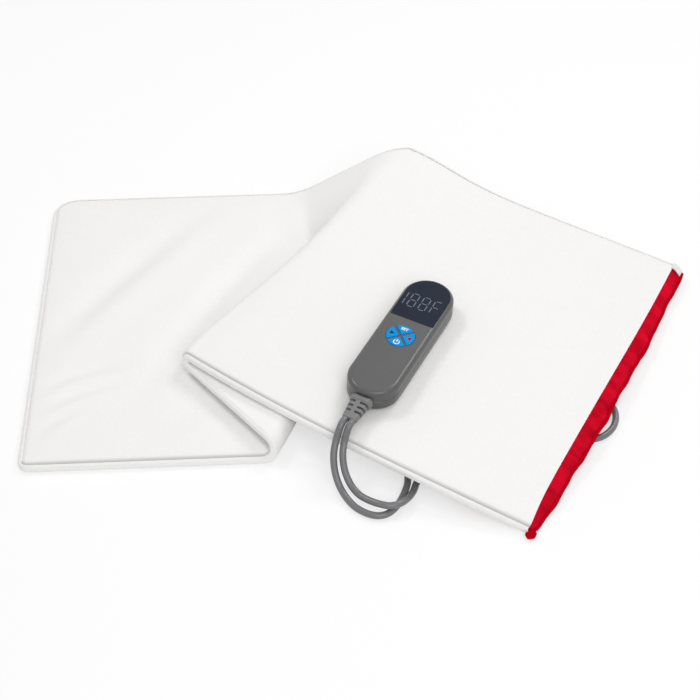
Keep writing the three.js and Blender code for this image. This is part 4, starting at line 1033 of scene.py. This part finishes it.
def brushed_nap():
    """Brushed fleece seen close: soft clumps of fibre over finer hair, as a height and a shade."""
    group = bpy.data.node_groups.new("brushed_nap", "ShaderNodeTree")
    group.interface.new_socket("Scale", in_out="INPUT", socket_type="NodeSocketFloat")
    for name in ("Height", "Shade"):
        group.interface.new_socket(name, in_out="OUTPUT", socket_type="NodeSocketFloat")
    given = put(group, "NodeGroupInput")
    place = put(group, "ShaderNodeTexCoord").outputs["Object"]
    clumps = put(group, "ShaderNodeTexNoise", {
        "Vector": place, "Scale": given.outputs["Scale"], "Detail": 6, "Roughness": 0.65, "Distortion": 0.4})
    broad = put(group, "ShaderNodeTexNoise", {"Vector": place, "Scale": 18, "Detail": 3})
    hair = put(group, "ShaderNodeMapRange", {"Value": clumps.outputs["Fac"], "To Min": 0.975, "To Max": 1.02})
    drift = put(group, "ShaderNodeMapRange", {"Value": broad.outputs["Fac"], "To Min": 0.985, "To Max": 1.01})
    shade = put(group, "ShaderNodeMath", {0: hair.outputs["Result"], 1: drift.outputs["Result"]},
                operation="MULTIPLY")
    put(group, "NodeGroupOutput", {"Height": clumps.outputs["Fac"], "Shade": shade.outputs[0]})
    return group


nap_group = brushed_nap()


def fleece_material(name, seam_painted_shade=1):
    """White fleece: matt, with a soft sheen, its shade and bump from the brushed nap.

    A seam shade under one paints shade over the seam groove of both long rims, by the distance from the nearer
    one.
    """
    material, tree, shader = bare_material(
        name, Roughness=0.95, Specular_IOR_Level=0.2, Sheen_Weight=0.15, Sheen_Roughness=0.6)
    nap = put(tree, "ShaderNodeGroup", node_tree=nap_group)
    nap.inputs["Scale"].default_value = fleece_scale
    shade = nap.outputs["Shade"]
    # Painted shade: the colour is darkened near the long rims, where the seam's groove lies.
    if seam_painted_shade < 1:
        place = put(tree, "ShaderNodeTexCoord").outputs["UV"]
        across = put(tree, "ShaderNodeSeparateXYZ", {0: place}).outputs["Y"]
        from_rim = put(tree, "ShaderNodeMath", {0: across, 1: pad_width / 2}, operation="PINGPONG").outputs[0]
        painted_groove_shade = put(tree, "ShaderNodeMapRange", {
            "Value": from_rim, "From Min": seam_painted_shade_reach[0], "From Max": seam_painted_shade_reach[1],
            "To Min": seam_painted_shade, "To Max": 1}).outputs["Result"]
        shade = put(tree, "ShaderNodeMath", {0: shade, 1: painted_groove_shade}, operation="MULTIPLY").outputs[0]
    tint = put(tree, "ShaderNodeVectorMath", {0: paint(*fleece_white)[:3], "Scale": shade}, operation="SCALE")
    bump = put(tree, "ShaderNodeBump", {
        "Height": nap.outputs["Height"], "Strength": 1, "Distance": nap_height})
    tree.links.new(tint.outputs["Vector"], shader.inputs["Base Color"])
    tree.links.new(bump.outputs["Normal"], shader.inputs["Normal"])
    return material


def width_shares():
    """Shares of the width: close lines at both rims for the seam, and even ones between."""
    rim = rim_lines / pad_width
    inside = np.linspace(rim[-1], 1 - rim[-1], across_cells + 1)[1:-1]
    return np.concatenate([rim, inside, 1 - rim[::-1]])


b_lines = width_shares()
cover_flap_shares = cover_end_share * np.arange(1, flap_cells + 1) / flap_cells
cover_middle, cover_normal, cover_left = pad_grid(flat_cells, cover_flap_shares, b_lines)
cover_thickness = cloth_thickness(cover_middle, cover_left, b_lines)


def top_panel():
    """The upper cloth, with a groove along its seams: minus the seam's depth times a bell from each rim."""
    side = np.minimum(pad_width * b_lines[None], pad_width * (1 - b_lines[None]))
    groove = seam_depth * np.exp(-(np.minimum(side, cover_left) / seam_width) ** 2)
    sunk = cover_normal * groove[..., None]
    low, high = (
        on_layout(at_level(cover_middle, cover_normal, cover_thickness, level) - sunk)
        for level in top_panel_shares)
    return slab(high, low)


def bottom_panel():
    """The lower cloth, set back from the open end."""
    rows = len(cover_middle) - round(lip_set_back / flap_length * flap_cells)
    low, high = (
        on_layout(at_level(cover_middle, cover_normal, cover_thickness, level)[:rows])
        for level in bottom_panel_shares)
    return slab(high, low)


def edge_band():
    """A closed bulging strip round three rims, from the top one to the bottom one.

    It stands out by a root of one less a power of the way from its middle, and goes back inside the rims.
    """
    rows, columns = cover_middle.shape[:2]
    i = np.concatenate([np.arange(rows)[::-1], np.zeros(columns - 2, int), np.arange(rows)])
    j = np.concatenate([np.zeros(rows, int), np.arange(1, columns - 1), np.full(rows, columns - 1)])
    along = unit(np.gradient(cover_middle[i, j], axis=0))
    outward = unit(np.cross(cover_normal[i, j], along))
    high = at_level(cover_middle, cover_normal, cover_thickness, 1)[i, j]
    high = high - cover_normal[i, j] * seam_depth / 2
    low = at_level(cover_middle, cover_normal, cover_thickness, 0)[i, j]
    share = np.concatenate([np.linspace(0, 1, band_samples), band_inner_shares])
    bulge = band_gap + band_bulge * (1 - abs(2 * share - 1) ** band_power) ** (1 / band_root)
    bulge[band_samples:] = -seam_width / 4
    rings = mix(high[:, None], low[:, None], share[None, :, None]) + bulge[None, :, None] * outward[:, None]
    return loft(on_layout(rings))


white_fleece = fleece_material("white_fleece")
# The top panel's colour gets painted shade along the seam groove of its long rims.
fleece_with_painted_seam_shade = fleece_material("fleece_with_painted_seam_shade", seam_painted_shade=0.66)
cover_uv = cloth_uv(cover_middle, b_lines)
cover_top = make_piece("cover_top", *top_panel(), fleece_with_painted_seam_shade, sharp_angle=70, uv=cover_uv)
cover_bottom = make_piece("cover_bottom", *bottom_panel(), white_fleece, sharp_angle=70)
cover_band = make_piece("cover_band", *edge_band(), white_fleece, sharp_angle=70)
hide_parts("cover_top_panel")
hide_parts("cover_bottom_panel")
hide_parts("cover_edge_band")


# Inner pad. Its envelope is red satin round the heating wire, pushed into the cover so that only its end
# shows. That end is bound with a rolled red edge, which ends in a knot at the near corner.
lower_sheet_level = 0.155
upper_sheet_level = 0.80
nose_loss = 0.66
nose_power = 1.5
shown_row_power = 0.6
pleat_height = 0.0007
pleat_count = 11
pleat_sway = 0.8
pleat_rise = 1.5
end_wave = 0.0013
# Waves along the shown end: how many fit into the width, where each starts and its share of the height.
end_waves = [(3.1, 0.15, 1), (7.3, 0.4, 0.7), (13.7, 0, 0.4)]
# Folds across the shown end: the share of the width at which each lies, its depth and its lean as it goes.
end_folds = [(0.695, 0.0034, -0.05), (0.63, 0.0018, 0.04), (0.54, 0.0016, -0.03), (0.36, 0.0036, 0.06),
             (0.30, 0.0022, -0.04), (0.17, 0.0014, 0.03), (0.85, 0.0014, 0.02)]
end_fold_share = 0.017
end_fold_swell = 0.6
end_fold_swell_offset = 1.6
end_fold_rise = 2.5
binding_radius = 0.0018
binding_stand_off = 0.35
binding_swell = 0.12
binding_ripple = (0.2, 2.2)
binding_sides = 12
# Painted sheen and shade on the satin: patches to a metre along and across, and their strength.
satin_painted_sheen_patches = (28, 70, 0.3)
inner_cells = [("corner", 6), ("flat", 40), ("turn_up", 14), ("tongue", 16), ("turn_over", 20)]
inner_flap_cells = 60
end_rows = 22
end_columns = 150


def end_ripple(b):
    """The sum of the sines of unlike length along the end, from minus one to one."""
    waves = sum(height * np.sin(2 * np.pi * (count * b + start)) for count, start, height in end_waves)
    return waves / sum(height for count, start, height in end_waves)


def inner_pad():
    """One padded body from the closed end to the bound end, coarse where the cover hides it.

    Past the cover's end it thins by a power of the way, and gets a wave along the pad, sines as pleats, and
    folds that are a bell cut into it with a smaller bell beside it. Along its rims it sinks with the seams.
    """
    hidden = np.linspace(0, lip_share, inner_flap_cells + 1)[1:]
    shown = mix(lip_share, 1, np.linspace(0, 1, end_rows + 1)[1:] ** shown_row_power)
    shares = np.concatenate([hidden, shown])
    b = np.linspace(0, 1, end_columns + 1)
    middle, normal, from_left = pad_grid(inner_cells, shares, b)
    rows = len(middle) - len(shares)
    past = np.zeros((len(middle), 1))
    past[rows:, 0] = np.maximum(0, shares - cover_end_share) / (1 - cover_end_share)
    thickness = cloth_thickness(middle, from_left, b) * (1 - nose_loss * past ** nose_power)
    wave = end_ripple(b)[None]
    middle = middle + (end_wave * wave * past)[..., None] * heading(flap_heading)
    pleats = pleat_height * np.sin(2 * np.pi * (pleat_count * b[None] + pleat_sway * wave))
    pleats = pleats * np.minimum(1, pleat_rise * past)
    for place, depth, lean in end_folds:
        off = (b[None] - place - lean * past) / end_fold_share
        fold = np.exp(-(off - end_fold_swell_offset) ** 2) * end_fold_swell - np.exp(-off ** 2)
        pleats = pleats + depth * fold * np.minimum(1, end_fold_rise * past)
    rim = np.minimum(np.minimum(pad_width * b[None], pad_width * (1 - b[None])), from_left)
    pleats = pleats - seam_depth * np.exp(-(rim / (2 * seam_width)) ** 2)
    top = at_level(middle, normal, thickness, upper_sheet_level) + normal * pleats[..., None]
    bottom = at_level(middle, normal, thickness, lower_sheet_level)
    bottom[..., 2] = np.maximum(bottom[..., 2], 0)
    return slab(on_layout(top), on_layout(bottom)), cloth_uv(middle, b), (top[-1] + bottom[-1]) / 2


def rolled_edge(end_line):
    """A round roll along the end of the inner pad, swelling and thinning a little as it goes."""
    line = end_line + (binding_radius * binding_stand_off) * heading(flap_heading)
    line[:, 2] = np.maximum(line[:, 2], binding_radius)
    radius = binding_radius * (1 + binding_swell * end_ripple(np.linspace(*binding_ripple, len(line))))
    return loft(tube_rings(on_layout(line), radius, binding_sides))


red_satin = cloth_material(
    "red_satin", paint(208, 14, 40), roughness=0.6, threads=480, painted_sheen_patches=satin_painted_sheen_patches, Specular_IOR_Level=0)
inner_solid, inner_uv, inner_end = inner_pad()
inner_piece = make_piece("inner_pad", *inner_solid, red_satin, sharp_angle=70, uv=inner_uv)
red_cord = cloth_material(
    "red_edge", paint(186, 6, 28), roughness=0.6, threads=520, coordinates="Object", Specular_IOR_Level=0)
edge_roll = make_piece("rolled_edge", *rolled_edge(inner_end), red_cord, sharp_angle=70)
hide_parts("inner_pad_lower_sheet", "inner_pad_upper_sheet")
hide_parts("inner_pad_binding")


# Knot and tab. The binding is turned in at the near corner as a small red knot, and a short tab of white
# twill is sewn over the far corner with red thread.
knot_rings = 19
knot_sides = 28
knot_lobe = 0.1
knot_lobe_start = 0.7
knot_pleats = 5
knot_pleat_height = 0.06
tab_width_share = 0.024
tab_overlap = 0.1
tab_gap = 0.0003
tab_thickness = 0.0012
tab_rows = 14
tab_columns = 18


def knot_solid():
    """A ball with two lobes and five pleats: a radius of one plus sines of the turn, faded at its poles."""
    low, high = (np.array(corner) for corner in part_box("binding_knot"))
    rise = np.linspace(-np.pi / 2, np.pi / 2, knot_rings)[1:-1, None]
    turn = (2 * np.pi * np.arange(knot_sides) / knot_sides)[None]
    lobes = knot_lobe * np.sin(2 * turn + knot_lobe_start) * np.cos(rise)
    swell = 1 + lobes + knot_pleat_height * np.sin(knot_pleats * turn) * np.cos(rise)
    reach = np.cos(rise) * swell
    ball = np.stack([reach * np.cos(turn), reach * np.sin(turn), np.sin(rise) + 0 * turn], -1)
    return loft((low + high) / 2 + ball * (high - low) / 2)


def tab_solid():
    """A strip of even thickness over the far corner, which follows the pad's top and its thinning end."""
    b = 1 - mix(tab_width_share, 0, np.linspace(0, 1, tab_columns))
    shares = mix(cover_end_share - tab_overlap * (1 - cover_end_share), 1, np.linspace(0, 1, tab_rows))
    middle = pad_point("flap", flap_rows(shares, b), b[None])
    normal = unit(np.cross(np.gradient(middle, axis=0), np.gradient(middle, axis=1)))
    past = np.maximum(0, shares - cover_end_share)[:, None] / (1 - cover_end_share)
    thickness = cloth_thickness(middle, np.ones(middle.shape[:2]), b)
    thickness = thickness * (1 - nose_loss * past ** nose_power)
    bottom = at_level(middle, normal, thickness, 1) + normal * tab_gap
    return slab(on_layout(bottom + normal * tab_thickness), on_layout(bottom))


white_twill = cloth_material(
    "white_twill", paint(238, 236, 232), roughness=0.8, threads=420, coordinates="Object")
knot = make_piece("corner_knot", *knot_solid(), red_cord, sharp_angle=180)
corner_tab = make_piece("corner_tab", *tab_solid(), white_twill)
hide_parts("binding_knot")
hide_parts("cover_corner_tab")


# Controller housing. Two shells of satin grey plastic meet at a parting line halfway up the side. The upper
# one has a flat face with a rounded edge, a recess for the window and four openings for the keys.
housing_width = 0.0473
housing_height = 0.021
lower_height = 0.010
parting_gap = 0.0003
wall = 0.002
ceiling = 0.0176
face_round = 0.0042
back_round = 0.003
line_chamfer = 0.0003
stadium_steps = 40
face_steps = 10
back_steps = 8
window_half_width = 0.0205
window_bottom = 0.019
window_corner = 0.0015
window_corner_steps = 7
window_recess = 0.0018
window_clearance = 0.0002
key_radius = 0.013
key_middle = np.array([0, -0.003])
key_web = 0.0017
key_steps = 24
overrun = 0.004
display_opening = (0.033, 0.022)
display_opening_place = (0, 0.0395)
display_opening_corner = 0.001
display_opening_steps = 4
disc_sides = 24
post_radius = 0.004
post_hole_radius = 0.0017
screw_head_radius = 0.0029
screw_head_depth = 0.0022
screw_places = [(0.0115, 0.06), (-0.0115, 0.06), (0.0115, -0.06), (-0.0115, -0.06)]


def stadium(inset, height):
    """Two half circles joined by straight sides, drawn in by the inset, at a height."""
    radius = housing_width / 2 - inset
    reach = (housing_length - housing_width) / 2
    turn = np.linspace(0, np.pi, stadium_steps + 1)
    turn = np.concatenate([turn, turn + np.pi])
    shift = np.repeat([reach, -reach], stadium_steps + 1)
    return np.stack([radius * np.cos(turn), shift + radius * np.sin(turn), height + 0 * turn], -1)


def stadium_solid(profile):
    """A closed body of stadium rings, from a list of insets and heights."""
    return loft(on_controller(np.array([stadium(inset, height) for inset, height in profile])))


def window_outline(grow):
    """The window: a straight bottom with small round corners and a half circle over it."""
    half = window_half_width + grow
    top = (housing_length - housing_width) / 2
    bottom = window_bottom - grow
    turn = np.linspace(0, np.pi, 2 * stadium_steps + 1)
    arch = np.stack([half * np.cos(turn), top + half * np.sin(turn)], -1)
    quarter = np.linspace(0, np.pi / 2, window_corner_steps)
    by_cosine = window_corner * (1 - np.cos(quarter))
    by_sine = window_corner * (1 - np.sin(quarter))
    left = np.stack([-half + by_cosine, bottom + by_sine], -1)
    right = np.stack([half - by_sine, bottom + by_cosine], -1)
    return np.concatenate([arch, left, right])


def quarter_outline(radius, gap, middle_angle):
    """A quarter of a disc, set back from its two straight sides by half a gap."""
    half = np.pi / 4 - np.arcsin(gap / 2 / radius)
    turn = middle_angle + half * np.linspace(-1, 1, key_steps + 1)
    arc = np.stack([radius * np.cos(turn), radius * np.sin(turn)], -1)
    tip = gap / np.sqrt(2) * np.array([[np.cos(middle_angle), np.sin(middle_angle)]])
    return key_middle + np.concatenate([tip, arc])


def stacked(outlines, heights):
    """A closed body of flat outlines in equal number of points, one over the other."""
    rings = [np.column_stack([outline, np.full(len(outline), height)])
             for outline, height in zip(outlines, heights)]
    return loft(on_controller(np.array(rings)))


def disc_tools(radius, low, high):
    """A round block at each screw's place: circles of the radius at a low and at a high level."""
    turn = 2 * np.pi * np.arange(disc_sides) / disc_sides
    circle = radius * np.stack([np.cos(turn), np.sin(turn)], -1)
    return [tool_body(stacked([np.array(place) + circle] * 2, [low, high])) for place in screw_places]


def neck_tool():
    """The notch in the housing's end that holds the relief's neck, half in each shell."""
    width, thickness = (size - 2 * relief_groove + 2 * window_clearance for size in relief_top)
    end = -housing_length / 2
    rings = [relief_ring(width, thickness, y) for y in (end + neck_length + face_gap, end - neck_length)]
    return tool_body(loft(on_controller(np.array(rings))))


def upper_shell(material):
    """A rounded lid with four posts, less its cavity and the openings for window, display, keys and relief."""
    bottom = lower_height + parting_gap
    turn = np.linspace(0, np.pi / 2, face_steps)
    edge = [(face_round * (1 - np.cos(a)), housing_height - face_round * (1 - np.sin(a))) for a in turn]
    inner_rim = (face_round + line_chamfer, housing_height)
    shell = make_piece("upper_shell", *stadium_solid(
        [(line_chamfer, bottom), (0, bottom + line_chamfer), *edge, inner_rim]), material)
    cavity = stadium_solid(
        [(wall, bottom - overrun), (wall, ceiling - wall), (wall + face_round / 2, ceiling)])
    posts = disc_tools(post_radius, bottom, ceiling + wall / 2)
    holes = disc_tools(post_hole_radius, bottom - overrun, ceiling)
    recess = stacked(
        [window_outline(window_clearance)] * 2, [housing_height - window_recess, housing_height + overrun])
    frame_outline = display_opening_place + rounded_rectangle(
        *display_opening, display_opening_corner, display_opening_steps)
    opening = stacked([frame_outline] * 2, [ceiling - wall, housing_height])
    key_levels = [ceiling - overrun, housing_height - line_chamfer, housing_height + line_chamfer]
    keys = []
    for quarter in range(4):
        angle = quarter * np.pi / 2
        plain = quarter_outline(key_radius, key_web, angle)
        flared = quarter_outline(key_radius + line_chamfer, key_web - 2 * line_chamfer, angle)
        keys.append(tool_body(stacked([plain, plain, flared], key_levels)))
    cut_piece(shell, [tool_body(cavity)], "DIFFERENCE")
    cut_piece(shell, posts, "UNION")
    cut_piece(shell, [*holes, tool_body(recess), tool_body(opening), *keys, neck_tool()], "DIFFERENCE")
    return shell


def lower_shell(material):
    """A tray with a rounded foot and four bosses, less its cavity, screw holes and the relief's notch."""
    turn = np.linspace(0, np.pi / 2, back_steps)
    edge = [(back_round * (1 - np.sin(a)), back_round * (1 - np.cos(a))) for a in turn]
    upper_rim = [(0, lower_height - line_chamfer), (line_chamfer, lower_height)]
    shell = make_piece("lower_shell", *stadium_solid(
        [(back_round + line_chamfer, 0), *edge, *upper_rim]), material)
    cavity = stadium_solid([(wall + back_round / 2, wall), (wall, 2 * wall), (wall, lower_height + overrun)])
    bosses = disc_tools(post_radius, wall / 2, lower_height)
    holes = disc_tools(post_hole_radius, -overrun, lower_height + overrun)
    heads = disc_tools(screw_head_radius, -overrun, screw_head_depth)
    cut_piece(shell, [tool_body(cavity)], "DIFFERENCE")
    cut_piece(shell, bosses, "UNION")
    cut_piece(shell, [*holes, *heads, neck_tool()], "DIFFERENCE")
    return shell


housing_plastic = moulded_material(
    "housing_plastic", paint(84, 84, 84), roughness=0.3, scale=2200, bump_height=0.00003)
upper_housing = upper_shell(housing_plastic)
lower_housing = lower_shell(housing_plastic)
for shell in (upper_housing, lower_housing):
    shell.data.polygons.foreach_set("use_smooth", np.ones(len(shell.data.polygons), bool))
    shell.data.set_sharp_from_angle(angle=np.radians(25))
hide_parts("controller_upper_shell")
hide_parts("controller_lower_shell")


# Window and display. A dark blue polished window lies flush in the face, and the pale bars of a plain
# seven-bar display show in it.
window_edge = 0.00025
window_top = housing_height - 0.0001
digit_size = (0.0065, 0.0168)
digit_pitch = 0.0108
digit_bar = 0.0009
digit_lift = 0.00004
digit_middle = (-0.0037, 0.0428)
digit_end_gap = 0.9
# The lit bars of each digit: a to f clockwise from the top, then the middle one.
digits = ("bc", "abcdefg", "abcdefg", "aefg")


def window_solid():
    """The window's outline, drawn in a little at its upper edge."""
    low = housing_height - window_recess + face_gap
    return stacked([window_outline(0), window_outline(0), window_outline(-window_edge)],
                   [low, window_top - window_edge, window_top])


def bar_solid(start, end, width, low, high):
    """A flat bar between two points, pointed at both ends."""
    start, end = np.array(start, float), np.array(end, float)
    way = unit(end - start)
    side = np.array([-way[1], way[0]]) * width / 2
    outline = np.array([start, start + side + way * width / 2, end + side - way * width / 2, end,
                        end - side - way * width / 2, start - side + way * width / 2])
    return stacked([outline, outline], [low, high])


def digit_bars(middle, bars):
    """The lit bars of one digit, each drawn in at both ends by a share of its width."""
    width, height = digit_size
    x, y = middle
    left, right, low, high = x - width / 2, x + width / 2, y - height / 2, y + height / 2
    ends = {
        "a": ((left, high), (right, high)), "b": ((right, high), (right, y)), "c": ((right, y), (right, low)),
        "d": ((left, low), (right, low)), "e": ((left, y), (left, low)), "f": ((left, high), (left, y)),
        "g": ((left, y), (right, y))}
    solids = []
    for bar in bars:
        start, end = (np.array(p) for p in ends[bar])
        gap = unit(end - start) * digit_bar * digit_end_gap
        solids.append(bar_solid(start + gap, end - gap, digit_bar, window_top, window_top + digit_lift))
    return solids


def display_solid():
    """One hundred and eighty-eight and an F, side by side."""
    solids = []
    for place, bars in enumerate(digits):
        x = digit_middle[0] + (place - (len(digits) - 1) / 2) * digit_pitch
        solids += digit_bars((x, digit_middle[1]), bars)
    return join_solids(solids)


def glass_material():
    """Dark polished plastic with faint smears in its gloss."""
    material, tree, shader = bare_material("window_plastic", Specular_IOR_Level=0.22)
    place = put(tree, "ShaderNodeTexCoord").outputs["Object"]
    smears = put(tree, "ShaderNodeTexNoise", {"Vector": place, "Scale": 90, "Detail": 5, "Distortion": 0.8})
    rough = put(tree, "ShaderNodeMapRange", {"Value": smears.outputs["Fac"], "To Min": 0.12, "To Max": 0.26})
    shade = put(tree, "ShaderNodeMapRange", {"Value": smears.outputs["Fac"], "To Min": 0.9, "To Max": 1.1})
    tint = put(tree, "ShaderNodeVectorMath", {0: paint(16, 28, 46)[:3], "Scale": shade.outputs["Result"]},
               operation="SCALE")
    tree.links.new(tint.outputs["Vector"], shader.inputs["Base Color"])
    tree.links.new(rough.outputs["Result"], shader.inputs["Roughness"])
    return material


display_glass = make_piece("window_pane", *window_solid(), glass_material(), sharp_angle=25)
digit_ink = moulded_material("digit_ink", paint(112, 120, 134), roughness=0.5, Specular_IOR_Level=0.2)
display_digits = make_piece("display_digits", *display_solid(), digit_ink, sharp_angle=25)
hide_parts("display_window")


# Keys. Four blue quarters of a disc are pressed down into the housing. Their marks are printed: a word, two
# arrows and the sign for on and off.
key_clearance = 0.00025
key_proud = 0.0007
key_edge = 0.0005
key_edge_steps = 6
key_depth = 0.005
flange_reach = 0.0012
flange_low, flange_high = 0.0158, 0.0173
mark_lift = 0.00004
mark_radius = 0.0085
word_size = 0.0042
word_weight = 0.035
down_arrow_size = 0.0025
up_arrow_size = 0.0028
power_radius = 0.0025
power_line = 0.0009
power_ring_ends = (125, 415)
power_ring_samples = 33
power_bar_ends = (0.1, 1.35)
key_top = housing_height + key_proud


def key_solid(angle):
    """A quarter and its flange. Its upper edge has insets and drops of one less cosine and sine of a turn."""
    radius = key_radius - key_clearance
    gap = key_web + 2 * key_clearance
    turn = np.linspace(0, np.pi / 2, key_edge_steps)
    insets = [0, *(key_edge * (1 - np.cos(turn))), key_edge + key_clearance]
    heights = [key_top - key_depth, *(key_top - key_edge * (1 - np.sin(turn))), key_top]
    outlines = [quarter_outline(radius - inset, gap + 2 * inset, angle) for inset in insets]
    flange = [quarter_outline(radius + flange_reach, gap, angle)] * 2
    return stacked(outlines, heights), stacked(flange, [flange_low, flange_high])


def prism_mark(outline):
    """A flat outline on the key's top, as thick as the print."""
    return stacked([outline, outline], [key_top, key_top + mark_lift])


def arrow_mark(place, way, size):
    """A triangle that points one way."""
    turn = np.radians(way) + np.array([0, 2, 4]) * np.pi / 3
    return prism_mark(np.array(place) + size * np.stack([np.cos(turn), np.sin(turn)], -1))


def power_mark(place, radius, width):
    """A flat ring, open at its top, with a bar through its gap."""
    turn = np.linspace(*np.radians(power_ring_ends), power_ring_samples)
    ring = np.stack([np.cos(turn), np.sin(turn)], -1)
    inner = np.array(place) + (radius - width / 2) * ring
    outer = np.array(place) + (radius + width / 2) * ring
    low, high = key_top, key_top + mark_lift
    corners = [np.column_stack([line, np.full(len(line), height)])
               for line, height in ((inner, low), (outer, low), (outer, high), (inner, high))]
    arc = loft(on_controller(np.array(corners).swapaxes(0, 1)))
    left, right = place[0] - width / 2, place[0] + width / 2
    foot, head = (place[1] + radius * end for end in power_bar_ends)
    bar = np.array([[left, foot], [right, foot], [right, head], [left, head]])
    return join_solids([arc, prism_mark(bar)])


def word_mark(name, word, place, size, material, body):
    """A printed word, made a mesh and then put in its place on the key."""
    text = bpy.data.curves.new(name, "FONT")
    text.body = word
    text.size = size
    text.align_x = "CENTER"
    text.align_y = "CENTER"
    text.offset = size * word_weight
    text.extrude = mark_lift / 2
    maker = bpy.data.objects.new("maker", text)
    bpy.context.collection.objects.link(maker)
    mesh = bpy.data.meshes.new_from_object(maker.evaluated_get(bpy.context.evaluated_depsgraph_get()))
    bpy.data.objects.remove(maker)
    points = np.empty(3 * len(mesh.vertices))
    mesh.vertices.foreach_get("co", points)
    points = on_controller(points.reshape(-1, 3) + [*place, key_top + mark_lift / 2])
    mesh.vertices.foreach_set("co", points.ravel())
    mesh.name = name
    mesh.materials.clear()
    mesh.materials.append(material)
    piece = bpy.data.objects.new(name, mesh)
    bpy.context.collection.objects.link(piece)
    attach(piece, body)
    return piece


key_plastic = moulded_material(
    "key_plastic", paint(0, 146, 216), roughness=0.42, scale=2600, bump_height=0.00002,
    Specular_IOR_Level=0.1)
white_ink = moulded_material("white_ink", paint(240, 240, 240), roughness=0.5)
dark_ink = moulded_material("dark_ink", paint(30, 40, 74), roughness=0.5, Specular_IOR_Level=0.1)
red_ink = moulded_material("red_ink", paint(200, 0, 24), roughness=0.5, Specular_IOR_Level=0)
for name, angle in (("set", 90), ("down", 180), ("up", 0), ("power", -90)):
    cap, flange = key_solid(np.radians(angle))
    piece = make_piece(f"{name}_button_cap", *cap, key_plastic, body=f"{name}_button", sharp_angle=40)
    rim = make_piece(f"{name}_button_flange", *flange, key_plastic, body=f"{name}_button", sharp_angle=40)
    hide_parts(f"{name}_key")
down_arrow = arrow_mark(key_middle - [mark_radius, 0], 0, down_arrow_size)
up_arrow = arrow_mark(key_middle + [mark_radius, 0], 180, up_arrow_size)
power_sign = power_mark(key_middle - [0, mark_radius], power_radius, power_line)
word_mark("set_word", "SET", key_middle + [0, mark_radius], word_size, white_ink, "set_button")
make_piece("down_arrow", *down_arrow, dark_ink, body="down_button")
make_piece("up_arrow", *up_arrow, red_ink, body="up_button")
make_piece("power_sign", *power_sign, white_ink, body="power_button")


# Pieces inside the controller and the pad. They keep their own shapes: a green board with its parts, a rubber
# mat and steel domes under the keys, four screws, a clamp on the cords, the wire and its two thermostats.
board_green = moulded_material("board_green", paint(33, 110, 60), roughness=0.4, scale=800)
black_moulding = moulded_material("black_moulding", paint(30, 30, 32), roughness=0.45, scale=1800)
mat_rubber = moulded_material("mat_rubber", paint(60, 60, 62), roughness=0.75, scale=1200)
wire_sleeve = moulded_material("wire_sleeve", paint(181, 101, 58), roughness=0.45, scale=900)
bright_steel = metal_material("bright_steel", paint(190, 193, 197), roughness=0.3)
inner_finishes = {
    "circuit_board": board_green, "key_mat": mat_rubber, "display_module": black_moulding,
    "power_triac": black_moulding, "supply_capacitor": black_moulding, "cord_clamp": black_moulding,
    "supply_fuse": bright_steel, "heating_wire": wire_sleeve,
    "thermostat_1": black_moulding, "thermostat_2": black_moulding,
    **{f"{key}_switch_dome": bright_steel for key in ("set", "down", "up", "power")},
    **{f"housing_screw_{number}": bright_steel for number in (1, 2, 3, 4)},
}
for name, material in inner_finishes.items():
    dress_node(name, material)
